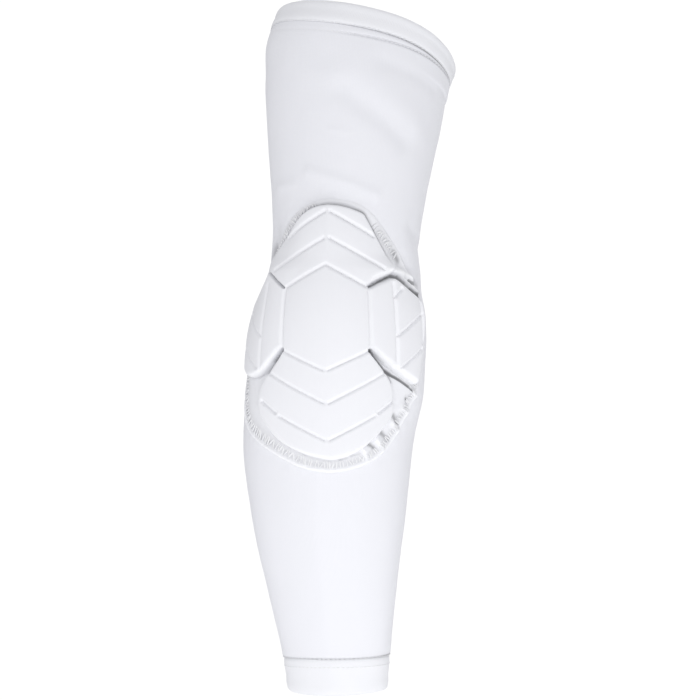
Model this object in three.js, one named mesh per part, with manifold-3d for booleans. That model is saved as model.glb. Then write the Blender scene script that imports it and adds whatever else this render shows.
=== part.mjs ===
// Padded compression arm sleeve, worn over a slightly bent elbow.
// A knitted tube with a doubled hem band at each end and one moulded foam pad sewn on over the elbow.
// Millimetres, +Z up along the arm, the pad faces -Y, the origin lies inside the elbow.

import * as THREE from 'three';
import { mergeVertices } from 'three/addons/utils/BufferGeometryUtils.js';
import Module from 'manifold-3d';

// Fabric and hem bands
const FABRIC_WALL = 1.2;
const HEM_WALL = 2.4;
const HEM_PROUD = 1.0;
const HEM_ROUND = 0.7;
const SEAM_GAP = 0.35;
const WRIST_EDGE = -214;
const WRIST_SEAM = -191.5;
const UPPER_SEAM = 149.5;
const UPPER_EDGE = 160;

// Moulded elbow pad
const PAD_CLEARANCE = 0.85;
const PAD_CROWN = 8.6;
const PAD_RIM = 6.0;
const PAD_SHOULDER = 2.2;
const PAD_BEVEL = { inset: 0.3, height: 0.72 };
const EDGE_WIDTH = 8;
const EDGE_THICKNESS = 1.6;
const WRAP_RADIUS = 50;
const GROOVE_WIDTH = 2.0;
const GROOVE_DEPTH = 1.8;
const GROOVE_FOOT = 0.3;
const GROOVE_FLARE = 1.6;
const CHEVRON_SLOPE = 0.5;

// Hexagon over the point of the elbow
const HEX_HALF_WIDTH = 23.5;
const HEX_TOP = 26.5;
const HEX_SHOULDER = 14.7;
const HEX_HIP = -18.2;
const HEX_BOTTOM = -29.2;

// Upright groove on each wing, and the rise of the wing's slanting ribs
const WING_LINE = 39;
const WING_LINE_TOP = 19;
const WING_LINE_FOOT = -29;
const RIB_RISE = 0.62;

// Mesh fineness
const COLUMNS = 42;
const TUBE_ROWS = 25;
const PAD_SECTORS = 54;
const BODY_RINGS = [0.36, 0.7];
const UNDER_RINGS = [0.84, 0.67, 0.5, 0.33, 0.16];
const CUT_STEP = 9;
const REACH_PASSES = 40;

// Sections of the sleeve's outer face from the wrist up, with the tilt of each section's plane in degrees:
// roll lowers the +X side, pitch lifts the front.
const SECTIONS = [
  { height: -214, centreX: -1.5, centreY: 14.5, halfWidth: 29.1, halfDepth: 23.5, roll: 0, pitch: -5.0 },
  { height: -193, centreX: -2.0, centreY: 12.5, halfWidth: 31.4, halfDepth: 25.5, roll: 0, pitch: -4.8 },
  { height: -160, centreX: -3.9, centreY: 10.0, halfWidth: 36.6, halfDepth: 31.0, roll: 0, pitch: -4.5 },
  { height: -115, centreX: -5.8, centreY: 6.0, halfWidth: 44.3, halfDepth: 38.5, roll: 0, pitch: -4.0 },
  { height: -65, centreX: -5.1, centreY: 2.5, halfWidth: 49.3, halfDepth: 43.0, roll: 0, pitch: -2.5 },
  { height: -12, centreX: 0.4, centreY: 0.0, halfWidth: 47.6, halfDepth: 44.0, roll: 0, pitch: 1.0 },
  { height: 40, centreX: 4.2, centreY: 2.5, halfWidth: 42.3, halfDepth: 43.0, roll: 0, pitch: 6.0 },
  { height: 95, centreX: 6.9, centreY: 11.0, halfWidth: 47.7, halfDepth: 48.0, roll: 2, pitch: 11.5 },
  { height: 130, centreX: 7.3, centreY: 19.0, halfWidth: 52.9, halfDepth: 51.5, roll: 8, pitch: 15.0 },
  { height: 150, centreX: 8.6, centreY: 24.6, halfWidth: 54.5, halfDepth: 52.5, roll: 11, pitch: 20.0 },
  { height: 160, centreX: 12.0, centreY: 28.3, halfWidth: 53.8, halfDepth: 52.0, roll: 12, pitch: 22.0 },
];

// Soft folds in the fabric, each along a line on the outer face. Angles in degrees from the front.
const FOLDS = [
  { fromAngle: -9, fromHeight: 113, toAngle: 42, toHeight: 97, width: 9, lift: 1.3 },
  { fromAngle: -20, fromHeight: 75, toAngle: 23, toHeight: 67, width: 8, lift: 1.1 },
  { fromAngle: -64, fromHeight: 47, toAngle: -61, toHeight: 33, width: 8, lift: -2.0 },
  { fromAngle: 60, fromHeight: 40, toAngle: 95, toHeight: 27, width: 7, lift: 1.5 },
  { fromAngle: 150, fromHeight: 14, toAngle: 215, toHeight: 8, width: 9, lift: -1.6 },
  { fromAngle: 140, fromHeight: -12, toAngle: 205, toHeight: -18, width: 9, lift: -1.4 },
];

// Petals whose union is the pad's raised outline, in the flat, u round the arm and v along it:
// the upper one, the lower one and the two wings.
const PETALS = [
  { centreU: 0, centreV: 15, halfU: 44.3, halfV: 44.3, power: 2 },
  { centreU: 0, centreV: -34, halfU: 41.3, halfV: 41.3, power: 2 },
  { centreU: 24, centreV: -12, halfU: 40, halfV: 36, power: 2.5 },
  { centreU: -24, centreV: -12, halfU: 40, halfV: 36, power: 2.5 },
];

// Chevron grooves on the petals: apex on the middle line, reach to each side.
const CHEVRONS = [
  { apex: 41, reach: 33 },
  { apex: 55, reach: 28 },
  { apex: -46.8, reach: 33 },
  { apex: -66.8, reach: 37 },
];

// Slanting grooves on a wing, from its upright groove outwards.
const RIBS = [
  { start: 11, reach: 6 },
  { start: -11, reach: 21 },
  { start: -29, reach: 20 },
];

// Slits that let the petals close round the elbow, from a hexagon corner out to the edge.
const SLITS = [
  { fromV: HEX_SHOULDER, toU: 47, toV: 24.5, fromWidth: 1.6, toWidth: 3 },
  { fromV: HEX_HIP, toU: 51, toV: -38, fromWidth: 1.6, toWidth: 6 },
];

// Outer hem profiles: rise is the share of the band's height, lift is off the tube's face.
const HEM_PROFILE = [
  { rise: 0, lift: 0.2 },
  { rise: 0.12, lift: 0.8 },
  { rise: 0.7, lift: HEM_PROUD },
  { rise: 0.92, lift: HEM_PROUD },
  { rise: 1, lift: HEM_PROUD - HEM_ROUND },
  { rise: 1, lift: HEM_PROUD - HEM_WALL + HEM_ROUND },
  { rise: 0.92, lift: HEM_PROUD - HEM_WALL },
  { rise: 0, lift: HEM_PROUD - HEM_WALL },
];

const wasm = await Module();
wasm.setup();

const radians = THREE.MathUtils.degToRad;

// Smooth value of one column of the section table at a height along the arm.
function sectionValue(column, height) {
  const last = SECTIONS.length - 1;
  let index = 0;
  while (index < last - 1 && height > SECTIONS[index + 1].height) {
    index += 1;
  }
  const slopeAt = (row) => {
    const before = SECTIONS[Math.max(row - 1, 0)];
    const here = SECTIONS[row];
    const after = SECTIONS[Math.min(row + 1, last)];
    if (before === here || after === here) {
      return (after[column] - before[column]) / (after.height - before.height);
    }
    const lowerStep = here.height - before.height;
    const upperStep = after.height - here.height;
    const lowerSlope = (here[column] - before[column]) / lowerStep;
    const upperSlope = (after[column] - here[column]) / upperStep;
    return (lowerSlope * upperStep + upperSlope * lowerStep) / (lowerStep + upperStep);
  };
  const low = SECTIONS[index];
  const high = SECTIONS[index + 1];
  const step = high.height - low.height;
  const t = (height - low.height) / step;
  const fromLow = (2 * t ** 3 - 3 * t ** 2 + 1) * low[column];
  const fromHigh = (3 * t ** 2 - 2 * t ** 3) * high[column];
  const bendLow = (t ** 3 - 2 * t ** 2 + t) * step * slopeAt(index);
  const bendHigh = (t ** 3 - t ** 2) * step * slopeAt(index + 1);
  return fromLow + fromHigh + bendLow + bendHigh;
}

// Distance in the flat from a point to a fold's line.
function distanceToFold(fold, angle, height) {
  const from = new THREE.Vector3(radians(fold.fromAngle) * WRAP_RADIUS, fold.fromHeight, 0);
  const to = new THREE.Vector3(radians(fold.toAngle) * WRAP_RADIUS, fold.toHeight, 0);
  const turns = [-2 * Math.PI, 0, 2 * Math.PI];
  const line = new THREE.Line3(from, to);
  const distances = turns.map((turn) => {
    const point = new THREE.Vector3((angle + turn) * WRAP_RADIUS, height, 0);
    return line.closestPointToPoint(point, true, new THREE.Vector3()).distanceTo(point);
  });
  return Math.min(...distances);
}

function foldLift(angle, height) {
  return FOLDS.reduce((sum, fold) => {
    const distance = distanceToFold(fold, angle, height);
    return sum + fold.lift * Math.exp(-((distance / fold.width) ** 2));
  }, 0);
}

// Point on the sleeve, at a height along the arm and an angle from the front towards +X, lifted off the face.
function sleevePoint(height, angle, lift) {
  const halfWidth = sectionValue('halfWidth', height);
  const halfDepth = sectionValue('halfDepth', height);
  const roll = radians(sectionValue('roll', height));
  const pitch = radians(sectionValue('pitch', height));
  const across = new THREE.Vector3(Math.cos(roll), 0, -Math.sin(roll));
  const back = new THREE.Vector3(0, Math.cos(pitch), -Math.sin(pitch));
  const normal = new THREE.Vector2(Math.sin(angle) / halfWidth, Math.cos(angle) / halfDepth).normalize();
  const centre = new THREE.Vector3(sectionValue('centreX', height), sectionValue('centreY', height), height);
  return centre
    .addScaledVector(across, halfWidth * Math.sin(angle) + lift * normal.x)
    .addScaledVector(back, -halfDepth * Math.cos(angle) - lift * normal.y);
}

function geometryFrom(points, triangles) {
  const geometry = new THREE.BufferGeometry().setFromPoints(points);
  geometry.setIndex(triangles.flat());
  return geometry;
}

// Closed band round the arm: a loop of profile points, up the outside and down the inside.
function sweptBand(profile) {
  const points = [];
  const triangles = [];
  for (let column = 0; column < COLUMNS; column += 1) {
    const angle = (2 * Math.PI * column) / COLUMNS;
    for (const { height, lift, folded } of profile) {
      points.push(sleevePoint(height, angle, lift + (folded ? foldLift(angle, height) : 0)));
    }
  }
  for (let column = 0; column < COLUMNS; column += 1) {
    for (let row = 0; row < profile.length; row += 1) {
      const nextColumn = (column + 1) % COLUMNS;
      const nextRow = (row + 1) % profile.length;
      const a = column * profile.length + row;
      const b = nextColumn * profile.length + row;
      const c = nextColumn * profile.length + nextRow;
      const d = column * profile.length + nextRow;
      triangles.push([a, b, c], [a, c, d]);
    }
  }
  return geometryFrom(points, triangles);
}

function tubeGeometry() {
  const foot = WRIST_SEAM + SEAM_GAP / 2;
  const top = UPPER_SEAM - SEAM_GAP / 2;
  const heights = Array.from({ length: TUBE_ROWS + 1 }, (_, row) => foot + ((top - foot) * row) / TUBE_ROWS);
  const outside = heights.map((height) => ({ height, lift: 0, folded: true }));
  const inside = heights.map((height) => ({ height, lift: -FABRIC_WALL, folded: true })).reverse();
  return sweptBand([...outside, ...inside]);
}

// Hem band between its seam and its free edge. The loop is turned over when the free edge is the lower one.
function hemGeometry(seam, edge) {
  const start = seam + (Math.sign(edge - seam) * SEAM_GAP) / 2;
  const profile = HEM_PROFILE.map(({ rise, lift }) => ({ height: start + (edge - start) * rise, lift }));
  return sweptBand(edge > seam ? profile : profile.reverse());
}

// Reach of one petal from the pad's origin along a direction, with a margin outside its raised edge.
function petalReach(petal, direction, margin) {
  let inside = 0;
  let outside = 2 * WRAP_RADIUS;
  for (let pass = 0; pass < REACH_PASSES; pass += 1) {
    const middle = (inside + outside) / 2;
    const across = Math.abs(direction.x * middle - petal.centreU) / (petal.halfU + margin);
    const along = Math.abs(direction.y * middle - petal.centreV) / (petal.halfV + margin);
    if (across ** petal.power + along ** petal.power < 1) {
      inside = middle;
    } else {
      outside = middle;
    }
  }
  return inside;
}

function outlineReach(direction, margin) {
  return Math.max(...PETALS.map((petal) => petalReach(petal, direction, margin)));
}

// Point of the pad, from its flat pattern: u round the arm from the straight middle line, v along the arm.
// The pad rides over the fabric's raised folds.
function padPoint(u, v, lift) {
  const angle = (u - sectionValue('centreX', v)) / WRAP_RADIUS;
  return sleevePoint(v, angle, lift + Math.max(0, foldLift(angle, v)));
}

// Height of the pad's crowned face, at a share of the way from its middle to its raised outline.
function crownLift(share) {
  return PAD_RIM + (PAD_CROWN - PAD_RIM) * (1 - share ** 2);
}

// Uncut pad: a crowned body inside a thin sewn edge, as rings round the middle.
function padBlank() {
  const points = [padPoint(0, 0, PAD_CROWN)];
  const triangles = [];
  const ringsAt = (direction) => {
    const reach = outlineReach(direction, 0);
    const edge = outlineReach(direction, EDGE_WIDTH);
    const body = BODY_RINGS.map((share) => ({ radius: reach * share, lift: crownLift(share) }));
    const rim = [
      { radius: reach - PAD_SHOULDER, lift: PAD_RIM },
      { radius: reach - PAD_SHOULDER * PAD_BEVEL.inset, lift: PAD_RIM * PAD_BEVEL.height },
      { radius: reach, lift: EDGE_THICKNESS },
      { radius: edge, lift: EDGE_THICKNESS },
    ];
    const under = [edge, reach, ...UNDER_RINGS.map((share) => reach * share)];
    return [...body, ...rim, ...under.map((radius) => ({ radius, lift: PAD_CLEARANCE }))];
  };
  let rings = 0;
  for (let sector = 0; sector < PAD_SECTORS; sector += 1) {
    const turn = (2 * Math.PI * sector) / PAD_SECTORS;
    const direction = new THREE.Vector2(Math.cos(turn), Math.sin(turn));
    const rows = ringsAt(direction);
    rings = rows.length;
    for (const { radius, lift } of rows) {
      points.push(padPoint(direction.x * radius, direction.y * radius, lift));
    }
  }
  const under = points.push(padPoint(0, 0, PAD_CLEARANCE)) - 1;
  for (let sector = 0; sector < PAD_SECTORS; sector += 1) {
    const here = 1 + sector * rings;
    const next = 1 + ((sector + 1) % PAD_SECTORS) * rings;
    triangles.push([0, here, next]);
    for (let ring = 0; ring < rings - 1; ring += 1) {
      triangles.push([here + ring, here + ring + 1, next + ring + 1]);
      triangles.push([here + ring, next + ring + 1, next + ring]);
    }
    triangles.push([under, next + rings - 1, here + rings - 1]);
  }
  return geometryFrom(points, triangles);
}

// Wedge that cuts a groove along a straight line of the flat pattern, following the pad's crowned face.
function grooveWedge({ from, to, fromWidth, toWidth, floorLift }) {
  const along = to.clone().sub(from);
  const side = new THREE.Vector2(-along.y, along.x).normalize();
  const steps = Math.max(2, Math.ceil(along.length() / CUT_STEP));
  const points = [];
  const triangles = [];
  for (let step = 0; step <= steps; step += 1) {
    const share = step / steps;
    const middle = from.clone().addScaledVector(along, share);
    const halfWidth = THREE.MathUtils.lerp(fromWidth, toWidth, share) / 2;
    const floor = floorLift(middle);
    const clear = PAD_CROWN + GROOVE_DEPTH;
    const corners = [
      { offset: halfWidth * GROOVE_FLARE, lift: clear },
      { offset: halfWidth * GROOVE_FOOT, lift: floor },
      { offset: -halfWidth * GROOVE_FOOT, lift: floor },
      { offset: -halfWidth * GROOVE_FLARE, lift: clear },
    ];
    for (const { offset, lift } of corners) {
      points.push(padPoint(middle.x + side.x * offset, middle.y + side.y * offset, lift));
    }
  }
  for (let step = 0; step < steps; step += 1) {
    for (let corner = 0; corner < 4; corner += 1) {
      const a = step * 4 + corner;
      const b = step * 4 + ((corner + 1) % 4);
      triangles.push([a, b + 4, b], [a, a + 4, b + 4]);
    }
  }
  const end = steps * 4;
  triangles.push([0, 1, 2], [0, 2, 3], [end, end + 2, end + 1], [end, end + 3, end + 2]);
  return geometryFrom(points, triangles);
}

// Floor of a shallow groove, a fixed depth under the crowned face.
function shallowFloor(point) {
  const direction = point.clone().normalize();
  const share = Math.min(1, point.length() / outlineReach(direction, 0));
  return crownLift(share) - GROOVE_DEPTH;
}

const slitFloor = () => EDGE_THICKNESS;

// Every cut on the right half of the pad. The left half mirrors it.
function rightHandCuts() {
  const shallow = (fromU, fromV, toU, toV) => ({
    from: new THREE.Vector2(fromU, fromV),
    to: new THREE.Vector2(toU, toV),
    fromWidth: GROOVE_WIDTH,
    toWidth: GROOVE_WIDTH,
    floorLift: shallowFloor,
  });
  const hexagon = [
    shallow(0, HEX_TOP, HEX_HALF_WIDTH, HEX_SHOULDER),
    shallow(HEX_HALF_WIDTH, HEX_SHOULDER, HEX_HALF_WIDTH, HEX_HIP),
    shallow(HEX_HALF_WIDTH, HEX_HIP, 0, HEX_BOTTOM),
  ];
  const chevrons = CHEVRONS.map(({ apex, reach }) => {
    return shallow(0, apex, reach, apex - Math.sign(apex) * CHEVRON_SLOPE * reach);
  });
  const ribs = RIBS.map(({ start, reach }) => {
    return shallow(WING_LINE, start, WING_LINE + reach, start + RIB_RISE * reach);
  });
  const slits = SLITS.map(({ fromV, toU, toV, fromWidth, toWidth }) => ({
    from: new THREE.Vector2(HEX_HALF_WIDTH, fromV),
    to: new THREE.Vector2(toU, toV),
    fromWidth,
    toWidth,
    floorLift: slitFloor,
  }));
  const wingLine = shallow(WING_LINE, WING_LINE_TOP, WING_LINE, WING_LINE_FOOT);
  return [...hexagon, ...chevrons, ...ribs, ...slits, wingLine];
}

function mirrored(cut) {
  return {
    ...cut,
    from: new THREE.Vector2(-cut.to.x, cut.to.y),
    to: new THREE.Vector2(-cut.from.x, cut.from.y),
    fromWidth: cut.toWidth,
    toWidth: cut.fromWidth,
  };
}

function solidFrom(geometry) {
  const merged = mergeVertices(geometry);
  const vertProperties = new Float32Array(merged.getAttribute('position').array);
  const triVerts = new Uint32Array(merged.getIndex().array);
  return new wasm.Manifold(new wasm.Mesh({ numProp: 3, vertProperties, triVerts }));
}

function geometryOf(solid) {
  const { vertProperties, triVerts } = solid.getMesh();
  const geometry = new THREE.BufferGeometry();
  geometry.setAttribute('position', new THREE.BufferAttribute(vertProperties, 3));
  geometry.setIndex(new THREE.BufferAttribute(triVerts, 1));
  return geometry;
}

function padGeometry() {
  const cuts = rightHandCuts();
  const all = [...cuts, ...cuts.map(mirrored)];
  const solid = all.reduce((rest, cut) => rest.subtract(solidFrom(grooveWedge(cut))), solidFrom(padBlank()));
  return geometryOf(solid);
}

function piece(name, geometry, color, roughness) {
  geometry.computeVertexNormals();
  const material = new THREE.MeshStandardMaterial({ color, roughness, metalness: 0 });
  const mesh = new THREE.Mesh(geometry, material);
  mesh.name = name;
  return mesh;
}

const sleeve = new THREE.Group();
sleeve.add(piece('sleeve_tube', tubeGeometry(), 0xf0f0f3, 0.75));
sleeve.add(piece('upper_cuff', hemGeometry(UPPER_SEAM, UPPER_EDGE), 0xf2f2f4, 0.75));
sleeve.add(piece('wrist_cuff', hemGeometry(WRIST_SEAM, WRIST_EDGE), 0xf4f4f5, 0.75));
sleeve.add(piece('elbow_pad', padGeometry(), 0xf3f3f5, 0.55));

export default sleeve;
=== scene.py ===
"""Padded arm sleeve: a knitted tube with doubled hems and a moulded pad sewn on over the elbow."""

import math

import bpy
import numpy as np
from bpy.props import FloatProperty, FloatVectorProperty, IntProperty, PointerProperty
from bpy.types import Operator, Panel, PropertyGroup
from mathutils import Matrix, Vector, noise
from mathutils.geometry import delaunay_2d_cdt


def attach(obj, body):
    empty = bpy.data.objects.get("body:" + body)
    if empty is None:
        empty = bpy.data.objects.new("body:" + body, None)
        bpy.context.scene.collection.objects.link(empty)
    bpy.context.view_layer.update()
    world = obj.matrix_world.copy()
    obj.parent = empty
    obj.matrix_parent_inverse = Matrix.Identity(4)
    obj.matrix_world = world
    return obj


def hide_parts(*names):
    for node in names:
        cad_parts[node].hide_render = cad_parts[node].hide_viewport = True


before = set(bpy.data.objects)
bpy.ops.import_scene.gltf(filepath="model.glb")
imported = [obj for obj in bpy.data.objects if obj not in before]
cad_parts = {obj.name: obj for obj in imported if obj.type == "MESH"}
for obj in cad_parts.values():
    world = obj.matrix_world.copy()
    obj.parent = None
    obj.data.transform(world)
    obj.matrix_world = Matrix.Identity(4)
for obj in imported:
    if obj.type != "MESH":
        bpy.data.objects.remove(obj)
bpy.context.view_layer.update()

bl_info = {
    "name": "Padded arm sleeve",
    "version": (1, 0, 0),
    "blender": (4, 5, 0),
    "location": "3D View > Sidebar > Sleeve",
    "description": "Builds a knitted arm sleeve with a moulded elbow pad",
    "category": "Object",
}

BODY = "root"
MM = 0.001

# Sections of the sleeve's outer face from the wrist up, in millimetres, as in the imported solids:
# height, centre x, centre y, half width, half depth, then roll and pitch in degrees
SECTIONS = np.array([
    (-214, -1.5, 14.5, 29.1, 23.5, 0, -5.0),
    (-193, -2.0, 12.5, 31.4, 25.5, 0, -4.8),
    (-160, -3.9, 10.0, 36.6, 31.0, 0, -4.5),
    (-115, -5.8, 6.0, 44.3, 38.5, 0, -4.0),
    (-65, -5.1, 2.5, 49.3, 43.0, 0, -2.5),
    (-12, 0.4, 0.0, 47.6, 44.0, 0, 1.0),
    (40, 4.2, 2.5, 42.3, 43.0, 0, 6.0),
    (95, 6.9, 11.0, 47.7, 48.0, 2, 11.5),
    (130, 7.3, 19.0, 52.9, 51.5, 8, 15.0),
    (150, 8.6, 24.6, 54.5, 52.5, 11, 20.0),
    (160, 12.0, 28.3, 53.8, 52.0, 12, 22.0),
], float)
WRIST_EDGE = -214
WRIST_SEAM = -191.5
UPPER_SEAM = 149.5
UPPER_EDGE = 160
SEAM_GAP = 0.35
WRIST_PROUD = -0.2
WRIST_ROW = 5.2
FLUSH_SEAM = 0.1
WRAP_RADIUS = 50
KNIT_RADIUS = 45

# Broad folds of the fabric: from angle, from height, to angle, to height, width, lift.
# Angles are in degrees from the front.
FOLDS = [
    (1, 118.5, 46, 97.5, 6.5, -1.4),
    (10, 129, 54, 108, 9, 0.8),
    (-24, 76.5, 29, 64.5, 3.2, 0.9),
    (-64, 47, -61, 33, 8, -2.0),
    (60, 40, 95, 27, 7, 0.9),
    (150, 14, 215, 8, 9, -1.6),
    (140, -12, 205, -18, 9, -1.4),
]

# Fullness of the sleeve beside the pad's right wing, laid out as the folds are
FULLNESS = [
    (84, -2, 86, -40, 20, 3.9),
]

# Finer creases, mostly in the crook of the elbow at the back
CREASES = [
    (66, 50, 100, 40, 4, -0.7),
    (70, 30, 104, 15, 4, 0.2),
    (128, 44, 182, 38, 5, -0.9),
    (172, 52, 236, 47, 5, -0.8),
    (136, 27, 226, 21, 4, 0.9),
    (150, -2, 232, -6, 4, 0.8),
    (120, 2, 160, -4, 4, -0.6),
    (190, -30, 240, -36, 5, -0.7),
    (118, -30, 172, -37, 5, 0.6),
    (-7.5, 97.2, 5, 96.4, 1.6, 0.35),
    (-37, 71, -58, 71, 3, 0.5),
    (26, 135.8, 67, 132.7, 4, -0.6),
    (-40, 133, -6, 124, 7, 0.5),
    (-52, -104, -18, -112, 12, 0.4),
]

# Outline of the pad's raised body in the flat, from the top middle down one side to the bottom middle.
# Its notches let the petals close round the elbow. At the upper left a narrow slit does that instead.
RAISED_RIGHT = [
    (0, 59.0), (10.4, 57.8), (17.6, 55.9), (22.6, 54.4), (24.6, 51.6), (28.9, 45.6), (33.6, 39.1),
    (37.6, 33.6), (41.0, 29.6), (43.0, 26.4), (41.8, 23.6), (40.2, 22.3), (31.6, 19.2), (24.3, 15.5),
    (24.5, 14.9), (31.9, 18.3), (39.7, 21.1), (43.0, 20.8), (51.5, 15.7), (60.5, 11.3), (63.0, 8.6),
    (63.3, 4.0), (62.4, -7.4), (60.4, -16.6), (58.4, -24.7), (57.3, -32.0), (55.8, -37.0),
    (55.0, -37.0), (46.2, -32.4), (39.4, -28.6), (31.6, -23.9), (24.4, -17.6),
    (23.7, -18.8), (28.2, -24.4), (32.2, -29.8), (35.4, -34.2), (36.9, -39.5), (37.5, -46.0),
    (37.4, -52.6), (34.8, -58.2), (30.2, -63.4), (22.6, -69.8), (14.5, -74.4), (7.3, -76.9),
]
RAISED_LEFT = [
    (-9.3, 58.0), (-17.8, 54.6), (-26.0, 48.6), (-32.6, 43.0), (-38.4, 37.8), (-42.0, 33.4),
    (-43.2, 30.8), (-41.8, 27.4), (-43.0, 22.8), (-50.2, 15.6), (-60.2, 10.0),
    (-63.0, 8.6), (-63.3, 4.0), (-62.4, -7.4), (-60.8, -16.6), (-59.5, -24.7), (-57.8, -30.5),
    (-53.5, -33.6), (-41.9, -32.0), (-33.4, -26.4), (-24.6, -17.4),
    (-23.9, -18.8), (-29.0, -25.6), (-34.2, -31.6), (-39.0, -37.0), (-40.9, -44.6), (-40.3, -51.0),
    (-38.4, -56.5), (-29.8, -66.0), (-23.8, -69.6), (-13.6, -74.2), (0, -77.6),
]

# Outer edge of the pad's thin sewn border in the flat, clockwise from the top middle
BORDER = [
    (0, 61.9), (10.3, 61.4), (20.0, 59.4), (28.1, 55.6), (34.1, 50.8), (42.2, 43.5),
    (50.3, 36.4), (55.6, 30.7), (61.2, 23.0), (66.5, 15.0), (69.5, 5.0), (69.7, -8.0),
    (68.2, -20.0), (65.2, -31.0), (61.2, -41.0), (56.3, -48.6), (50.2, -57.2), (43.8, -65.6),
    (37.0, -72.6), (28.5, -78.4), (19.5, -81.6), (10.0, -84.0), (0, -84.8), (-10.3, -83.4),
    (-17.6, -81.4), (-25.6, -78.2), (-33.4, -74.6), (-39.9, -71.7), (-46.2, -68.8), (-52.4, -65.4),
    (-58.2, -61.5), (-63.2, -55.0), (-66.4, -46.0), (-68.4, -35.0), (-69.4, -23.0), (-69.7, -9.0),
    (-69.2, 4.0), (-66.6, 12.5), (-61.5, 19.5), (-55.4, 26.4), (-49.0, 33.2), (-43.2, 39.8),
    (-38.2, 45.6), (-31.6, 51.8), (-24.6, 55.8), (-16.9, 59.1), (-7.5, 61.3),
]

# Moulded grooves of the right half: from u, v to u, v, then how deep there and in the mirrored half.
# Slanting ones have a wider upper wall; upright ones have a wider outer wall.
HEX_CORNERS = [(0, 26.5), (23.5, 14.7), (23.5, -18.2), (1.5, -28.5)]
SLANTING_GROOVES = [
    (HEX_CORNERS[0], HEX_CORNERS[1], 1.0, 0.85),
    (HEX_CORNERS[2], HEX_CORNERS[3], 1.0, 1.0),
    ((1.5, 40.3), (34.5, 24.8), 1.0, 0.8),
    ((1.5, 54.3), (28.5, 41.9), 1.0, 0.8),
    ((1.5, -46.1), (31.2, -30.6), 1.0, 1.0),
    ((1.5, -66.1), (25.6, -53.4), 1.0, 1.0),
    ((28.0, -51.6), (36.9, -45.6), 1.3, 1.15),
    ((39.8, 10.0), (45.5, 14.8), 1.0, 0.0),
    ((40.2, -10.4), (60.0, 2.0), 1.0, 0.5),
    ((42.5, -27.6), (58.6, -17.2), 1.0, 0.5),
]
UPRIGHT_GROOVES = [
    (HEX_CORNERS[1], HEX_CORNERS[2], 0.8, 0.8),
    ((39, 17.5), (39, -27.5), 0.7, 0.4),
    ((59.4, 9.0), (59.0, -14.0), 0.7, 0.0),
]

# Loose folds and puckers of the sewn border: from u, v to u, v, width, lift; puckers get painted shade,
# raised folds painted highlight
BORDER_FOLDS = [
    ((40.0, 25.6), (52.1, 24.3), 2.2, 2.2),
    ((52.1, 24.6), (67.0, 20.4), 1.9, 1.8),
    ((51.0, 22.0), (57.0, 19.0), 0.8, 1.0),
    ((55.0, 20.0), (62.0, 17.2), 0.8, 1.3),
    ((60.0, 17.6), (68.0, 13.6), 1.0, 1.3),
    ((-48.0, 25.0), (-62.0, 15.6), 1.8, -0.8),
    ((45.6, 35.0), (49.2, 31.0), 2.7, -1.3),
    ((50.6, -44.2), (52.4, -46.4), 1.3, -1.2),
    ((41.2, -53.4), (44.8, -58.6), 1.9, -1.9),
    ((31.8, -62.2), (37.4, -66.9), 1.9, -1.6),
    ((24.0, -68.6), (27.0, -70.6), 1.6, -1.2),
    ((13.4, -75.2), (18.6, -74.0), 1.1, -0.4),
    ((6.4, -77.0), (11.2, -76.2), 0.9, -0.3),
    ((55.0, -41.4), (58.2, -43.0), 1.8, 1.2),
    ((46.6, -49.6), (51.0, -52.2), 1.8, 1.1),
    ((39.4, -57.6), (43.6, -61.6), 2.0, 1.4),
    ((28.8, -66.4), (32.6, -71.8), 1.9, 1.3),
    ((20.4, -71.6), (23.0, -76.0), 1.7, 1.0),
]

# Deep slits between the petals and the wings, with painted shade in them: from u, v to u, v, half width,
# and how dark the painted shade in their depth is
SLITS = [
    ((25.2, 15.3), (31.8, 18.3), 0.5, 0.85),
    ((31.8, 18.3), (37.2, 20.6), 0.7, 0.95),
    ((37.2, 20.6), (41.6, 21.9), 0.9, 1.0),
    ((41.6, 21.9), (46.5, 21.0), 1.5, 0.95),
    ((46.5, 21.0), (53.0, 18.0), 2.2, 0.9),
    ((53.0, 18.0), (58.5, 15.4), 2.0, 0.7),
    ((58.5, 14.8), (71.5, 9.4), 3.0, 1.0),
    ((58.0, 20.6), (68.0, 17.2), 1.2, 0.8),
    ((24.1, -18.3), (29.0, -24.0), 1.6, 1.0),
    ((29.0, -24.0), (33.0, -28.6), 1.7, 1.0),
    ((33.0, -28.6), (38.2, -31.2), 1.5, 1.0),
    ((38.2, -31.2), (45.0, -34.0), 1.25, 1.0),
    ((45.0, -34.0), (52.4, -37.9), 1.2, 0.95),
    ((52.4, -37.9), (55.6, -40.4), 0.9, 0.85),
    ((35.6, -30.6), (38.6, -35.4), 0.6, 0.5),
    ((-25.2, 15.4), (-33.4, 20.6), 0.75, 0.65),
    ((-33.4, 20.6), (-46.0, 27.8), 0.75, 0.65),
    ((-24.6, -17.8), (-31.4, -24.6), 1.5, 0.8),
    ((-31.4, -24.6), (-37.4, -30.4), 1.4, 0.4),
]

# Pinches of the tube beside the pad, laid out as the slits are, with how deep they are; the same share
# sets the painted shade laid in them
TUBE_HOLLOWS = [
    ((-50.0, 39.6), (-55.6, 39.4), 2.2, 0.35),
    ((-55.6, 39.4), (-60.0, 37.4), 2.9, 0.75),
    ((-60.0, 37.4), (-66.0, 33.8), 2.4, 0.45),
    ((-66.0, 33.8), (-73.0, 31.0), 2.0, 0.18),
    ((60.0, 23.4), (68.0, 20.4), 1.5, 1.0),
    ((68.0, 20.4), (72.0, 18.8), 1.3, 0.5),
    ((64.0, 17.4), (70.0, 15.8), 1.5, 0.9),
    ((70.0, 15.8), (73.5, 14.6), 1.3, 0.4),
    ((63.0, 13.2), (70.0, 10.0), 2.0, 1.0),
    ((70.0, 10.0), (73.5, 8.2), 1.6, 0.5),
]
PINCH_DEPTH = 1.8
# Share of painted shade laid in the tube's pinches
PINCH_PAINTED_SHADE = 0.7

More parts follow.
